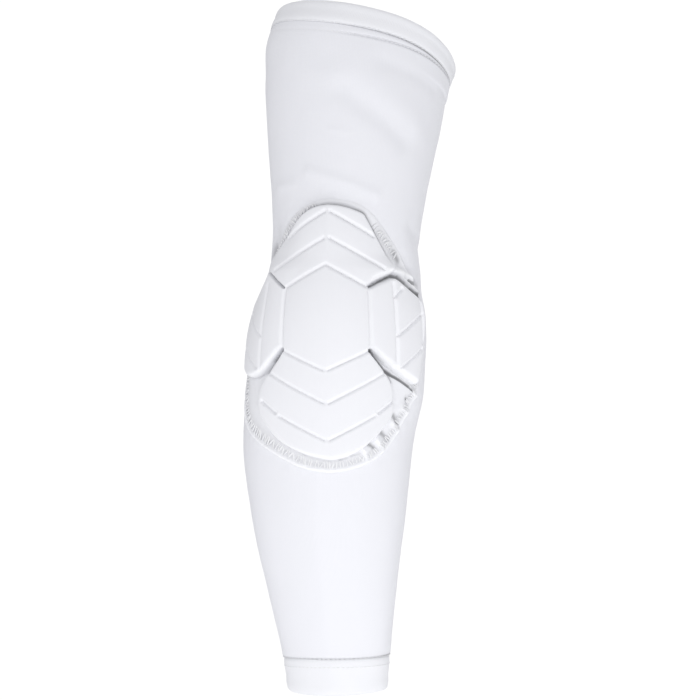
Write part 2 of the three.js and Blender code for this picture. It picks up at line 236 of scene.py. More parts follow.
# Hollows of the pad's roof: middle u, v, widths along both, depth
ROOF_HOLLOWS = [
    ((-58, 10), (14, 14), 1.5),
    ((-33, 46), (11, 10), 2.0),
]

# From here on a pair is the two ends of a run, or two values that are blended

# Raised body of the pad, in millimetres
CROWN_HALF = (64, 78)
HEX_HALF = (26, 31)
HEX_DOME = 1.3
ROOF_SLOPE = 0.06
ROOF_RISE = (24, 34)
TOP_SINK = 3.0
TOP_REACH = 60
TOP_POWER = 1.5
PILLOW_LIFT = 0.45
PILLOW_RUN = 3.5
RIM_CREASE = 0.9
CREASE_RUN = 0.8
CLEAR_RUN = (1, 3)
SLIT_FLOOR = 0.9
SLIT_WALL = (0.4, 1.0)
SHOULDER_WIDTH = (0.5, 1)
SHOULDER_POWER = (2.2, 1.5)
FACING_PROBE = 0.3
FACING_RUN = (0.05, 0.2)
SLIT_BAND_LEFT = (22, 28)
SLIT_BAND = ((14, 17), (28, 33))
SLIT_BAND_EXTRA = 0.6
GROOVE_WALLS = (0.5, 1)
GROOVE_POWERS = (2, 1.2)
GROOVE_LIT_SIDE = (0.6, 1)
GROOVE_LIT_RISE = (0, 0.25)
GROOVE_LIT_END = 0.9

# Sewn border of the pad, in millimetres: most of it, then its top or its foot
BORDER_TOP = (18, 34)
BORDER_FOOT = (-30, -55)
BORDER_FACE = (1.3, 0.715)
BORDER_GROUND = 0.06
BORDER_ROLL = 1.5
RIDGE_HEIGHT = (0.4, 0.75)
RIDGE_PLACE = (1.3, 1.6)
RIDGE_WIDTH = (0.75, 1.1)
DIP_DEPTH = 0.28
DIP_PLACE = 4.2
DIP_WIDTH = 1.8
TOP_FLATNESS = 0.6
SEWN_RUN = (0.2, 1.0)
SWELL_HEIGHT = 0.5
SWELL_RUN = (5, 9)
GRAIN_SIZE = 3.1
GRAIN_HEIGHT = 0.22
FLOOR_HEIGHT = 0.3
FLOOR_RUN = (0, 1.5)
UNDERSIDE = 0.1

# Overlock of the border: its strokes' place and length, and where none shows
STITCH_EDGE = 2.0
STITCH_LEAST = 1.6
STITCH_MOST = (8.0, 5.0)
STITCH_RIGHT = (-4, 12)
STITCH_SHARE = 0.78
STITCH_MIDDLE = 0.6
BARE_TOP = ((-12, -6), (30, 35))
BARE_TOP_LEVEL = (30, 34)
POCKET_LEFT = (42, 46)
POCKET = ((5, 8), (35.5, 38))

# Painted tone of the pad: painted shade darkens its depths, painted highlights brighten the walls that
# face down
TOP_LINE_SHADE = (0.6, 0.95)
TOP_LINE_PLACE = 0.1
TOP_LINE_WIDTH = 0.6
TOP_LINE_RISE = (22, 30)
TOP_LINE_RIGHT = (14, 24)
TOP_LINE_LEFT = (-24, -15)
TOP_LINE_FADE = (0.25, 1)
FOOT_LINE_SHADE = 0.12
FOOT_LINE_PLACE = 0.3
FOOT_LINE_WIDTH = 0.5
FOOT_LINE_FALL = (-36, -46)
FOOT_LINE_LEFT = (14, 2)
FOLD_PAINTED_WIDTH = 0.7
PUCKER_SHADE = 0.7
RIDGE_LIGHT = 0.6
STITCH_SHADE = 0.2
STITCH_SHADE_WIDTH = 0.6
STITCH_SHADE_RUN = (0.6, 1.6)
CREST_LIGHT = ((0.05, 0.3), (0.5, 1.15))
CREST_LIGHT_FALL = (34, 26)
CREST_LIGHT_CLEAR = 3
GROOVE_LIGHT = 0.5
GROOVE_LIGHT_RUN = (1, 2.5)
ROLL_LIGHT_PLACE = 1.4
ROLL_LIGHT_WIDTH = 1.0
ROLL_LIGHT_FALL = (-35, -60)
# Tints of the cloth at full painted shade and at full painted highlight
PAINTED_SHADE_TINT = 0.25
PAINTED_HIGHLIGHT_TINT = 1.12

# Hem bands: shares of the way from seam to free edge, with offsets from the inner or the outer face
HEM_INNER_START = [(0.0, 0), (0.0, 0.5)]
HEM_OUTER = [
    (0.0, -1.0), (0.03, -0.65), (0.08, -0.25), (0.16, -0.05), (0.3, 0), (0.42, -0.05), (0.54, -0.12),
    (0.64, 0), (0.76, 0.25), (0.87, 0.2), (0.94, -0.05), (0.98, -0.45), (1.0, -0.95),
]
HEM_INNER_END = [(0.99, 0.5), (0.95, 0.1), (0.85, 0), (0.6, 0), (0.3, 0)]
HEM_ROUGH = 0.3
HEM_ROUGH_SIZE = 0.014
HEM_ROUGH_SHIFT = (3.1, 0, 0)
SEAM_SHARE = 0.2
SEAM_FOOT = 0.6
SEAM_FOOT_SHARE = 0.05
SEAM_CLOSING = 0.85

# Bumps round the arm: middle and width in degrees from the front, height in millimetres.
# A wave is three rows of them: how a hem leans, how its seam wanders, how its free edge bows.
UPPER_WAVE = [[(-82, 48, -1.5)], [(-82, 40, 5.0), (48, 35, 2.0)], [(-82, 36, -2.2)]]
WRIST_WAVE = [[], [(-82, 42, -2.4), (97, 42, -1.2)], [(60, 50, 0.9)]]
WRIST_DROP = 0.4
FLAT_SEAM = ((-150, -110), (-14, 18))
SECOND_ROW_GAP = 1.15
SECOND_ROW_CLOSING = [(85, 45, -0.75)]
TURNED_IN_LEAST = 0.04
TURNED_IN_RIGHT = [(92, 24, 0.96)]
TURNED_IN_RUN = (UPPER_SEAM - 12.5, UPPER_SEAM - 11)
# Where the upper hem seam gets more painted shade, towards the right
SHADED_RIGHT = [(64, 30, 1)]

# Face of the tube, in millimetres but for the sizes and shifts of its unevenness
LEAN_RUN = (UPPER_SEAM - 50, UPPER_SEAM - 5)
UPPER_SWAY_RUN = (UPPER_SEAM - 60, UPPER_SEAM)
WRIST_SWAY_RUN = (WRIST_SEAM + 40, WRIST_SEAM)
FREE_RUN = (0.5, 7)
SEAM_RUN = (0, 8)
TUBE_WAVES = [(0.03, (0, 5.2, 0), 1.3), (0.011, (0, 0, 9.7), 0.5)]
PUCKER_SIZE = 0.0042
PUCKER_SHIFT = (7.3, 0, 0)
PUCKER_HEIGHT = 0.35
PUCKER_PLACE = 2
PUCKER_WIDTH = 5
PUCKER_RUN = (0.3, 1.5)
NEEDLE_DEPTH = (0.9, 0.15)
NEEDLE_WIDTH = 0.6
SEAM_SINK = 0.3
SEAM_WIDTH = 0.9
# Painted shade in the hem seams
UPPER_SEAM_SHADE = (0.08, 0.75)
UPPER_SEAM_WIDTH = 0.8
ROW_SHADE = 0.4
ROW_SHADE_WIDTH = 0.5
WRIST_SHADE = 0.15
WRIST_END_SHADES = (0.9, 0.4)
WRIST_END_POWER = 6

# Mesh fineness, in millimetres but for the counts
COLUMNS = 220
TUBE_STEP = 1.25
INNER_STEP = 3.4
LEAST_ROW = 0.15
FINE_ROWS = [(UPPER_SEAM - 5.4, UPPER_SEAM - 0.3, 0.4), (6, 26, 0.6)]
EXTRA_ROWS = [WRIST_SEAM + SEAM_GAP / 2 + rise for rise in (0.4, 0.8, 1.2)]
EXTRA_ROWS += [UPPER_SEAM - 11.4, UPPER_SEAM - 12.1]
PAD_STEP = 0.5
LINE_STEP = 0.6
UNDER_STEP = 4
UNDER_CLEAR = 3
EDGE_CLEAR = 0.35
LINE_CLEAR = 0.25
SHOULDER_REACH = 3
FINE_REACH = 2.6
MIDDLE_REACH = 7
MERGE_FACE = 0.02
MERGE_UNDER = 0.001
PATTERN_TOP = 72
PATTERN_FOOT = 92
PATTERN_HALF = 72
LATTICE_REACH = 170
LATTICE_RISE = math.sin(math.pi / 3)
CHUNK = 4000
SMOOTHING_PASSES = 3
TINY = 1e-9


# Sizes and colours that a user would change

def length_setting(name, description, default):
    """A length in metres with a name and a note."""
    return FloatProperty(
        name=name, description=description, default=default, min=0, precision=5, unit="LENGTH"
    )


def colour_setting(name, description, default):
    """A colour with a name and a note."""
    return FloatVectorProperty(
        name=name, description=description, default=default, size=3, min=0, max=1, subtype="COLOR"
    )


def share_setting(name, description, default):
    """A share from none to all, with a name and a note."""
    return FloatProperty(
        name=name, description=description, default=default, min=0, max=1, subtype="FACTOR"
    )


def power_setting(name, description, default):
    """A light's power with a name and a note."""
    return FloatProperty(name=name, description=description, default=default, subtype="POWER")


class FabricSettings(PropertyGroup):
    """Knitted tube and its hems"""

    wall: length_setting("Fabric wall", "Thickness of the knitted fabric", 0.0012)
    hem_wall: length_setting("Hem wall", "Thickness of the doubled hem", 0.0024)
    hem_proud: length_setting("Hem height", "How far the upper hem stands off the tube", 0.001)
    wale: length_setting("Stitch column", "Width of one column of the knit", 0.00075)
    course: length_setting("Stitch row", "Height of one row of the knit", 0.0006)
    softness: length_setting("Unevenness", "Height of the fabric's soft unevenness", 0.0003)
    colour: colour_setting("Fabric colour", "Colour of the knitted tube", (0.865, 0.871, 0.908))
    hem_colour: colour_setting("Hem colour", "Colour of the hem bands", (0.885, 0.892, 0.92))
    roughness: share_setting("Roughness", "Roughness of the knitted fabric", 0.78)


class PadSettings(PropertyGroup):
    """Moulded elbow pad"""

    crown: length_setting("Crown", "Height of the pad in its middle", 0.0086)
    rim: length_setting("Rim", "Height of the pad at its raised edge", 0.006)
    shoulder: length_setting("Shoulder", "Width of the rounded edge", 0.0028)
    groove_depth: length_setting("Groove depth", "Depth of the moulded grooves", 0.0014)
    groove_width: length_setting("Groove wall", "Width of a groove's wider wall", 0.0022)
    colour: colour_setting("Pad colour", "Colour of the pad's cover", (0.87, 0.876, 0.905))
    roughness: share_setting("Roughness", "Roughness of the pad's cover", 0.6)


class StitchSettings(PropertyGroup):
    """Overlock round the pad, twin rows at the hems and the long back seam"""

    overlock_pitch: length_setting("Overlock pitch", "Distance between overlock stitches", 0.0018)
    overlock_length: length_setting("Overlock length", "Length of one overlock stitch", 0.005)
    row_pitch: length_setting("Row pitch", "Distance between stitches of a hem row", 0.0027)
    row_length: length_setting("Row stitch", "Length of one stitch of a hem row", 0.0021)
    row_gap: length_setting("Row gap", "Distance between the two needle rows", 0.0034)
    thread: length_setting("Thread", "Thickness of the sewing thread", 0.0006)
    colour: colour_setting("Thread colour", "Colour of the sewing thread", (0.86, 0.865, 0.88))
    seed: IntProperty(
        name="Seed", description="Number behind the stitches' unevenness", default=7, min=0
    )


class StageSettings(PropertyGroup):
    """Floor, lights and camera"""

    floor_drop: length_setting("Floor drop", "Floor below the wrist end of the sleeve", 0.05)
    floor_colour: colour_setting("Floor colour", "Colour of the plain floor", (0.9, 0.9, 0.905))
    camera_distance: length_setting("Camera distance", "Camera to the middle of the sleeve", 2.0)
    lens: FloatProperty(
        name="Lens",
        description="Focal length of the camera",
        default=178.7,
        subtype="DISTANCE_CAMERA",
    )
    key: power_setting("Key light", "Power of the main light", 7)
    fill: power_setting("Fill light", "Power of the light from the left", 4.2)
    side: power_setting("Side light", "Power of the light from the right", 4.5)
    back: power_setting("Back light", "Power of the light behind it", 11)
    ambient: share_setting("Ambient", "Brightness of the studio round the sleeve", 0.6)


# The sleeve's form

def smooth_step(low, high, values):
    """Smooth rise from none at low to one at high."""
    share = np.clip((values - low) / (high - low), 0, 1)
    return share * share * (3 - 2 * share)


def window(values, rise, fall):
    """Smooth rise along one run of values, then a smooth fall along another."""
    return smooth_step(*rise, values) * smooth_step(fall[1], fall[0], values)


def between(ends, share):
    """The value at a share of the way from the first end to the second."""
    first, second = ends
    return first + (second - first) * share


def bell(values, width):
    """Round bump of height one."""
    return np.exp(-(values / width) ** 2)


def section_values(heights):
    """The section table's columns at heights along the arm, as smooth curves through its rows."""
    knots = SECTIONS[:, 0]
    values = SECTIONS[:, 1:]
    steps = np.diff(knots)[:, None]
    chords = np.diff(values, axis=0) / steps
    inner = (chords[:-1] * steps[1:] + chords[1:] * steps[:-1]) / (steps[:-1] + steps[1:])
    slopes = np.concatenate([chords[:1], inner, chords[-1:]])
    row = np.clip(np.searchsorted(knots, heights) - 1, 0, len(knots) - 2)
    step = steps[row]
    t = (heights[:, None] - knots[row][:, None]) / step
    from_low = (2 * t**3 - 3 * t**2 + 1) * values[row]
    from_high = (3 * t**2 - 2 * t**3) * values[row + 1]
    bend_low = (t**3 - 2 * t**2 + t) * step * slopes[row]
    bend_high = (t**3 - t**2) * step * slopes[row + 1]
    return (from_low + from_high + bend_low + bend_high).T


def sleeve_points(heights, angles, lifts):
    """Points in metres at heights along the arm and angles from the front, lifted off its face."""
    centre_x, centre_y, half_width, half_depth, roll, pitch = section_values(heights)
    roll = np.radians(roll)
    pitch = np.radians(pitch)
    normal_x = np.sin(angles) / half_width
    normal_y = np.cos(angles) / half_depth
    length = np.hypot(normal_x, normal_y)
    across = half_width * np.sin(angles) + lifts * normal_x / length
    front = half_depth * np.cos(angles) + lifts * normal_y / length
    x = centre_x + across * np.cos(roll)
    y = centre_y - front * np.cos(pitch)
    z = heights - across * np.sin(roll) + front * np.sin(pitch)
    return np.stack([x, y, z], axis=1) * MM


def line_distance(points, start, end):
    """Offsets from points in the flat to the nearest place on a straight line, and their lengths."""
    start = np.asarray(start, float)
    run = np.asarray(end, float) - start
    share = np.clip((points - start) @ run / (run @ run), 0, 1)
    offset = points - start - share[:, None] * run
    return offset, np.hypot(offset[:, 0], offset[:, 1])


def line_bell(points, start, end, width):
    """Round bump of height one along a straight line in the flat."""
    return bell(line_distance(points, start, end)[1], width)


def flat_places(angles, heights):
    """Places in the pad's flat pattern: u round the arm from the middle line, v along it."""
    return np.stack([angles * WRAP_RADIUS + section_values(heights)[0], heights], axis=1)


def fold_lift(angles, heights, folds):
    """Sum of the folds' lifts at points of the sleeve's face."""
    lift = np.zeros(len(angles))
    for from_angle, from_height, to_angle, to_height, width, height in folds:
        start = (math.radians(from_angle) * WRAP_RADIUS, from_height)
        end = (math.radians(to_angle) * WRAP_RADIUS, to_height)
        nearest = np.full(len(angles), np.inf)
        for turn in (-2 * math.pi, 0, 2 * math.pi):
            points = np.stack([(angles + turn) * WRAP_RADIUS, heights], axis=1)
            nearest = np.minimum(nearest, line_distance(points, start, end)[1])
        lift += height * bell(nearest, width)
    return lift


def wander(points, size, shift):
    """Soft unevenness at points, with waves of a size."""
    return np.array([noise.noise(Vector(point) / size + Vector(shift)) for point in points])


def pad_points(flat, lifts):
    """Points in metres from places in the pad's flat pattern, lifted off the sleeve's face."""
    heights = flat[:, 1]
    angles = (flat[:, 0] - section_values(heights)[0]) / WRAP_RADIUS
    under = fold_lift(angles, heights, FOLDS + FULLNESS)
    return sleeve_points(heights, angles, lifts + np.maximum(0, under))


# The pad's flat pattern

def rounded_loop(corners):
    """Closed loop with its corners cut again and again until it is smooth."""
    loop = np.array(corners, float)
    for _ in range(SMOOTHING_PASSES):
        following = np.roll(loop, -1, axis=0)
        near = loop * 0.75 + following * 0.25
        far = loop * 0.25 + following * 0.75
        loop = np.stack([near, far], axis=1).reshape(-1, 2)
    return loop


def even_line(line, step, closed):
    """The same line with evenly spaced points."""
    if closed:
        line = np.concatenate([line, line[:1]])
    run = np.concatenate([[0], np.cumsum(np.hypot(*np.diff(line, axis=0).T))])
    count = max(2, round(run[-1] / step) + 1)
    marks = np.linspace(0, run[-1], count)
    points = np.stack([np.interp(marks, run, line[:, axis]) for axis in (0, 1)], axis=1)
    return points[:-1] if closed else points


def loop_distance(points, loop):
    """Distance in the flat from points to a closed loop, positive inside it."""
    after = np.roll(loop, -1, axis=0)
    run = after - loop
    long = (run**2).sum(axis=1)
    rise = np.where(run[:, 1] == 0, 1e-12, run[:, 1])
    result = np.empty(len(points))
    for first in range(0, len(points), CHUNK):
        part = points[first:first + CHUNK]
        offset = part[:, None, :] - loop
        share = np.clip((offset * run).sum(axis=2) / long, 0, 1)
        gap = offset - share[:, :, None] * run
        nearest = np.sqrt((gap**2).sum(axis=2).min(axis=1))
        level = part[:, 1:2]
        crosses = (loop[:, 1] > level) != (after[:, 1] > level)
        meets = loop[:, 0] + (level - loop[:, 1]) * run[:, 0] / rise
        inside = (crosses & (part[:, :1] < meets)).sum(axis=1) % 2 == 1
        result[first:first + CHUNK] = np.where(inside, nearest, -nearest)
    return result


def mirrored(point):
    """The point on the other side of the pad's middle line."""
    return (-point[0], point[1])


def pad_loops():
    """Smooth outlines in the flat: the raised body and the sewn border."""
    raised = rounded_loop(RAISED_RIGHT + RAISED_LEFT[::-1])
    return raised, rounded_loop(BORDER)


def pad_grooves():
    """Every moulded groove: its two ends, how deep it is, and the direction of its wider wall."""
    grooves = []
    for lines, slanting in ((SLANTING_GROOVES, True), (UPRIGHT_GROOVES, False)):
        for start, end, right, left in lines:
            run = np.subtract(end, start)
            side = np.array([-run[1], run[0]]) / np.hypot(*run)
            side = side if side[1 if slanting else 0] > 0 else -side
            grooves.append((start, end, right, side))
            if left:
                grooves.append((mirrored(start), mirrored(end), left, np.array(mirrored(side))))
    return grooves


def groove_shape(flat, pad):
    """Depth of the grooves at points of the flat, the distance to the nearest, and its lit wall."""
    wide = pad.groove_width / MM
    deep = pad.groove_depth / MM
    depth = np.zeros(len(flat))
    nearest = np.full(len(flat), np.inf)
    lit = np.zeros(len(flat))
    for start, end, share, side in pad_grooves():
        offset, distance = line_distance(flat, start, end)
        toward = 0.5 + 0.5 * (offset @ side) / np.maximum(distance, TINY)
        wall = np.clip(1 - distance / (wide * between(GROOVE_WALLS, toward)), 0, 1)
        depth = np.maximum(depth, deep * share * wall ** between(GROOVE_POWERS, toward))
        slope = smooth_step(*GROOVE_LIT_RISE, wall) * (wall < GROOVE_LIT_END)
        lit = np.maximum(lit, share * smooth_step(*GROOVE_LIT_SIDE, toward) * slope)
        nearest = np.minimum(nearest, distance)
    return depth, nearest, lit


def border_face(flat, edge):
    """Height of the sewn border's face: a rolled edge, a dip under the stitches, folds and puckers."""
    top = smooth_step(*BORDER_TOP, flat[:, 1])
    foot = smooth_step(*BORDER_FOOT, flat[:, 1])
    roll = np.clip(edge / (BORDER_ROLL * (1 + top)), 0, 1)
    rise = between((np.sqrt(1 - (1 - roll) ** 2), roll * (2 - roll)), top)
    face = between((BORDER_GROUND, between(BORDER_FACE, top)), rise)
    height, place, width = (between(ends, foot) for ends in (RIDGE_HEIGHT, RIDGE_PLACE, RIDGE_WIDTH))
    ridge = height * bell(edge - place, width)
    dip = DIP_DEPTH * bell(edge - DIP_PLACE, DIP_WIDTH)
    face = face + (ridge - dip) * (1 - TOP_FLATNESS * top)
    sewn = smooth_step(*SEWN_RUN, edge)
    uneven = np.array([noise.noise(Vector((u, v, 0)) / GRAIN_SIZE) for u, v in flat])
    face = face + SWELL_HEIGHT * smooth_step(*SWELL_RUN, edge) + GRAIN_HEIGHT * uneven * sewn
    folds = [lift * line_bell(flat, start, end, width) for start, end, width, lift in BORDER_FOLDS]
    loose = np.max(folds, axis=0) + np.min(folds, axis=0)
    return np.maximum(face + loose * sewn, border_floor(edge))


def border_floor(edge):
    """Lowest that the border's face may go: it stays over its own underside."""
    return BORDER_GROUND + FLOOR_HEIGHT * smooth_step(*FLOOR_RUN, edge)


def slit_shape(flat):
    """How far points lie in the slits, and how much painted shade the slits get there, both from none to
    one.
    """
    carve = np.zeros(len(flat))
    shade = np.zeros(len(flat))
    for start, end, width, dark in SLITS:
        distance = line_distance(flat, start, end)[1]
        within = 1 - smooth_step(*SLIT_WALL, distance / width)
        carve = np.maximum(carve, within)
        shade = np.maximum(shade, dark * within)
    return carve, shade


def line_shade(flat, lines):
    """Strongest of the soft marks that lines of a width lay on points of the flat pattern."""
    shade = np.zeros(len(flat))
    for start, end, width, strength in lines:
        shade = np.maximum(shade, strength * line_bell(flat, start, end, width))
    return shade


def rim_painted_shade(flat, inside):
    """Painted shade along the foot of the raised edge: strong along the top, faint at the lower left."""
    u, v = flat.T
    top = between(TOP_LINE_SHADE, smooth_step(*TOP_LINE_RIGHT, u))
    top = top * bell(inside + TOP_LINE_PLACE, TOP_LINE_WIDTH) * smooth_step(*TOP_LINE_RISE, v)
    top = top * between(TOP_LINE_FADE, smooth_step(*TOP_LINE_LEFT, u))
    foot = FOOT_LINE_SHADE * bell(inside + FOOT_LINE_PLACE, FOOT_LINE_WIDTH)
    foot = foot * smooth_step(*FOOT_LINE_FALL, v) * smooth_step(*FOOT_LINE_LEFT, u)
    return np.maximum(top, foot)


def painted_pad_highlights(flat, pad, inside, edge, raised):
    """Painted highlights where the raised edge faces down, and on the grooves' and the border's lit
    walls.
    """
    v = flat[:, 1]
    width, _, facing = pad_shoulder(flat, pad, inside, raised)
    crest = facing * window(inside / width, *CREST_LIGHT) * smooth_step(*CREST_LIGHT_FALL, v)
    grooves = GROOVE_LIGHT * groove_shape(flat, pad)[2] * smooth_step(*GROOVE_LIGHT_RUN, inside)
    roll = bell(edge - ROLL_LIGHT_PLACE, ROLL_LIGHT_WIDTH) * smooth_step(*ROLL_LIGHT_FALL, v)
    return np.maximum.reduce([crest, grooves, roll])


def painted_pad_light(flat, pad, raised, border):
    """Painted shade in the pad's creases, up to one, and painted highlight on its lower walls, down to
    minus one.
    """
    inside = loop_distance(flat, raised)
    edge = loop_distance(flat, border)
    shade = np.maximum(slit_shape(flat)[1], rim_painted_shade(flat, inside))
    puff_highlights = np.zeros(len(flat))
    for start, end, width, lift in BORDER_FOLDS:
        near = min(1, abs(lift)) * line_bell(flat, start, end, width * FOLD_PAINTED_WIDTH)
        if lift < 0:
            shade = np.maximum(shade, PUCKER_SHADE * near)
        else:
            shade = shade * (1 - RIDGE_LIGHT * near)
            puff_highlights = np.maximum(puff_highlights, near)
    length, middle = stitch_span(np.maximum(0, edge - inside), flat[:, 0])
    sewn = bell((edge - middle) / length, STITCH_SHADE_WIDTH) * smooth_step(*STITCH_SHADE_RUN, edge)
    shade = np.maximum(shade, STITCH_SHADE * sewn * (inside < 0) * stitched(flat))
    # Painted highlights, cleared where painted shade lies
    light = np.maximum(painted_pad_highlights(flat, pad, inside, edge, raised), puff_highlights * (inside < 0))
    return shade - light * (1 - np.clip(shade * CREST_LIGHT_CLEAR, 0, 1))


def pad_shoulder(flat, pad, inside, raised):
    """Width and roundness of the raised edge, wider where it faces down, and how far it faces down."""
    rise = loop_distance(flat + (0, FACING_PROBE), raised) - inside
    facing = smooth_step(*FACING_RUN, rise)
    steep, wide = SHOULDER_WIDTH
    band = smooth_step(*SLIT_BAND_LEFT, flat[:, 0]) * window(flat[:, 1], *SLIT_BAND)
    width = pad.shoulder / MM * between((steep, wide + SLIT_BAND_EXTRA * band), facing)
    return width, between(SHOULDER_POWER, facing), facing


def stitch_span(width, u):
    """Length and middle of the border's stitches, measured in from its edge, where it has a width."""
    most = between(STITCH_MOST, smooth_step(*STITCH_RIGHT, u))
    length = np.clip(np.maximum(width - STITCH_EDGE, width * STITCH_SHARE), STITCH_LEAST, most)
    return length, np.minimum(STITCH_EDGE + length / 2, width * STITCH_MIDDLE)


def stitched(flat):
    """Where the border's stitches show: not along its top, and not in the pocket at the right."""
    u, v = flat.T
    top = window(u, *BARE_TOP) * smooth_step(*BARE_TOP_LEVEL, v)
    pocket = smooth_step(*POCKET_LEFT, u) * window(v, *POCKET)
    return (1 - top) * (1 - pocket)


def dome_share(flat, halves):
    """Share of a dome's height at points of the flat: one in its middle, none past its half widths."""
    return np.clip(1 - ((flat / halves) ** 2).sum(axis=1), 0, 1)


def pad_face(flat, pad, raised, border):
    """Height of the pad's face off the sleeve at points of the flat pattern."""
    u, v = flat.T
    inside = loop_distance(flat, raised)
    edge = np.maximum(0, loop_distance(flat, border))
    clear = smooth_step(*CLEAR_RUN, edge)
    crease = RIM_CREASE * bell(np.maximum(0, -inside), CREASE_RUN) * clear
    foot = np.maximum(border_floor(edge), border_face(flat, edge) - crease)
    crown = between((pad.rim / MM, pad.crown / MM), dome_share(flat, CROWN_HALF))
    crown = crown + HEX_DOME * dome_share(flat, HEX_HALF)
    roof = ROOF_SLOPE * np.abs(u) * smooth_step(*ROOF_RISE, v)
    roof = roof + TOP_SINK * (np.clip(v, 0, None) / TOP_REACH) ** TOP_POWER
    for middle, widths, sink in ROOF_HOLLOWS:
        roof = roof + sink * bell(u - middle[0], widths[0]) * bell(v - middle[1], widths[1])
    depth, nearest, _ = groove_shape(flat, pad)
    pillow = PILLOW_LIFT * (1 - np.exp(-np.minimum(nearest, np.maximum(0, inside)) / PILLOW_RUN))
    shoulder, power, _ = pad_shoulder(flat, pad, inside, raised)
    dome = (1 - (1 - np.clip(inside / shoulder, 0, 1)) ** power) ** (1 / power)
    face = foot + (crown - roof + pillow - depth - foot) * dome
    return face - slit_shape(flat)[0] * clear * np.maximum(0, face - SLIT_FLOOR)


def triangulated(points, lines, merge):
    """Triangles over points in the flat that keep the lines as edges: points, faces and origins."""
    vertices = [Vector(point) for point in points]
    flat, _, faces, origins, _, _ = delaunay_2d_cdt(vertices, lines, [], 1, merge, True)
    return np.array([tuple(point) for point in flat]), faces, origins


def chain(first, count, closed):
    """Edges along a line of points numbered from first."""
    edges = [(first + step, first + step + 1) for step in range(count - 1)]
    return edges + [(first + count - 1, first)] if closed else edges


def lattice(step):
    """Points of an even triangular lattice over the pad, with their two whole-number places."""
    rise = step * LATTICE_RISE
    rows = np.arange(-math.ceil(PATTERN_FOOT / rise), math.ceil(PATTERN_TOP / rise))
    reach = math.ceil(LATTICE_REACH / step)
    along, up = (places.ravel() for places in np.meshgrid(np.arange(-reach, reach), rows))
    points = np.stack([(along + 0.5 * up) * step, up * step * LATTICE_RISE], axis=1)
    near = np.abs(points[:, 0]) < PATTERN_HALF
    return points[near], along[near], up[near]


def pattern_points(pad, raised, border):
    """Points and fixed edges of the pad's upper face: dense along its lines, sparse between them."""
    points, along, up = lattice(PAD_STEP)
    edge = loop_distance(points, border)
    kept = edge > EDGE_CLEAR
    points, along, up, edge = points[kept], along[kept], up[kept], edge[kept]
    inside = loop_distance(points, raised)
    nearest = np.where(inside > 0, groove_shape(points, pad)[1], np.inf)
    rim = np.where(inside > 0, inside * SHOULDER_REACH / (pad.shoulder / MM), -inside)
    slit = np.min([line_distance(points, start, end)[1] for start, end, _, _ in SLITS], axis=0)
    reach = np.minimum.reduce([nearest, rim, edge, slit])
    every_second = (along % 2 == 0) & (up % 2 == 0)
    every_fourth = (along % 4 == 0) & (up % 4 == 0)
    kept = (reach < FINE_REACH) | (every_second & (reach < MIDDLE_REACH)) | every_fourth
    kept &= (np.abs(inside) > LINE_CLEAR) & (nearest > LINE_CLEAR)
    groups = [points[kept]]
    edges = []
    count = len(groups[0])
    lines = [(even_line(loop, LINE_STEP, True), True) for loop in (border, raised)]
    for start, end, _, _ in pad_grooves():
        lines.append((even_line(np.array([start, end], float), LINE_STEP, False), False))
    for line, closed in lines:
        groups.append(line)
        edges += chain(count, len(line), closed)
        count += len(line)
    return np.concatenate(groups), edges


def edge_ring(faces):
    """Outer edge of a triangulated sheet as one ring of point numbers."""
    uses = {}
    for face in faces:
        for place, point in enumerate(face):
            following = face[(place + 1) % len(face)]
            uses[(point, following)] = True
    outer = {first: second for first, second in uses if (second, first) not in uses}
    start = next(iter(outer))
    ring = [start]
    while outer[ring[-1]] != start:
        ring.append(outer[ring[-1]])
    return ring


def facing_up(flat, faces):
    """The faces with each turned the same way round in the flat."""
    turned = []
    for face in faces:
        a, b, c = (flat[point] for point in face)
        area = (b[0] - a[0]) * (c[1] - a[1]) - (b[1] - a[1]) * (c[0] - a[0])
        turned.append(tuple(face) if area > 0 else tuple(reversed(face)))
    return turned


# Objects

def mesh_object(name, points, faces, corners, material):
    """A smooth mesh object at the origin, with one flat coordinate for each face corner."""
    mesh = bpy.data.meshes.new(name)
    mesh.from_pydata([tuple(point) for point in points], [], faces)
    layer = mesh.uv_layers.new(name="cloth")
    layer.data.foreach_set("uv", np.asarray(corners, np.float32).ravel())
    mesh.polygons.foreach_set("use_smooth", np.ones(len(mesh.polygons), bool))
    mesh.materials.append(material)
    mesh.validate()
    mesh.update()
    made = bpy.data.objects.new(name, mesh)
    bpy.context.scene.collection.objects.link(made)
    return made


def swept_ring(name, heights, lifts, angles, material):
    """A closed band round the arm: its heights and lifts run up the outside and down the inside."""
    columns, rows = lifts.shape
    heights = np.broadcast_to(heights, lifts.shape)
    points = sleeve_points(heights.ravel(), np.repeat(angles, rows), lifts.ravel())
    climb = np.abs(np.diff(heights.mean(axis=0))) + np.abs(np.diff(lifts.mean(axis=0)))
    along = np.concatenate([[0], np.cumsum(climb)])
    along = np.append(along, along[-1] + 1)
    step = angles[1] - angles[0]
    faces = []
    corners = []
    for column in range(columns):
        after = (column + 1) % columns
        left = (angles[0] + column * step) * KNIT_RADIUS * MM
        right = left + step * KNIT_RADIUS * MM
        for row in range(rows):
            above = (row + 1) % rows
            here = column * rows
            there = after * rows
            faces.append((here + row, there + row, there + above, here + above))
            low = along[row] * MM
            high = along[row + 1] * MM
            corners += [(left, low), (right, low), (right, high), (left, high)]
    return mesh_object(name, points, faces, corners, material)


def store_painted_light(piece, painted_amount):
    """Store the piece's painted shade at each point, with painted highlight as negative values."""
    hollow = piece.data.attributes.new("hollow", "FLOAT", "POINT")
    hollow.data.foreach_set("value", painted_amount.astype(np.float32))


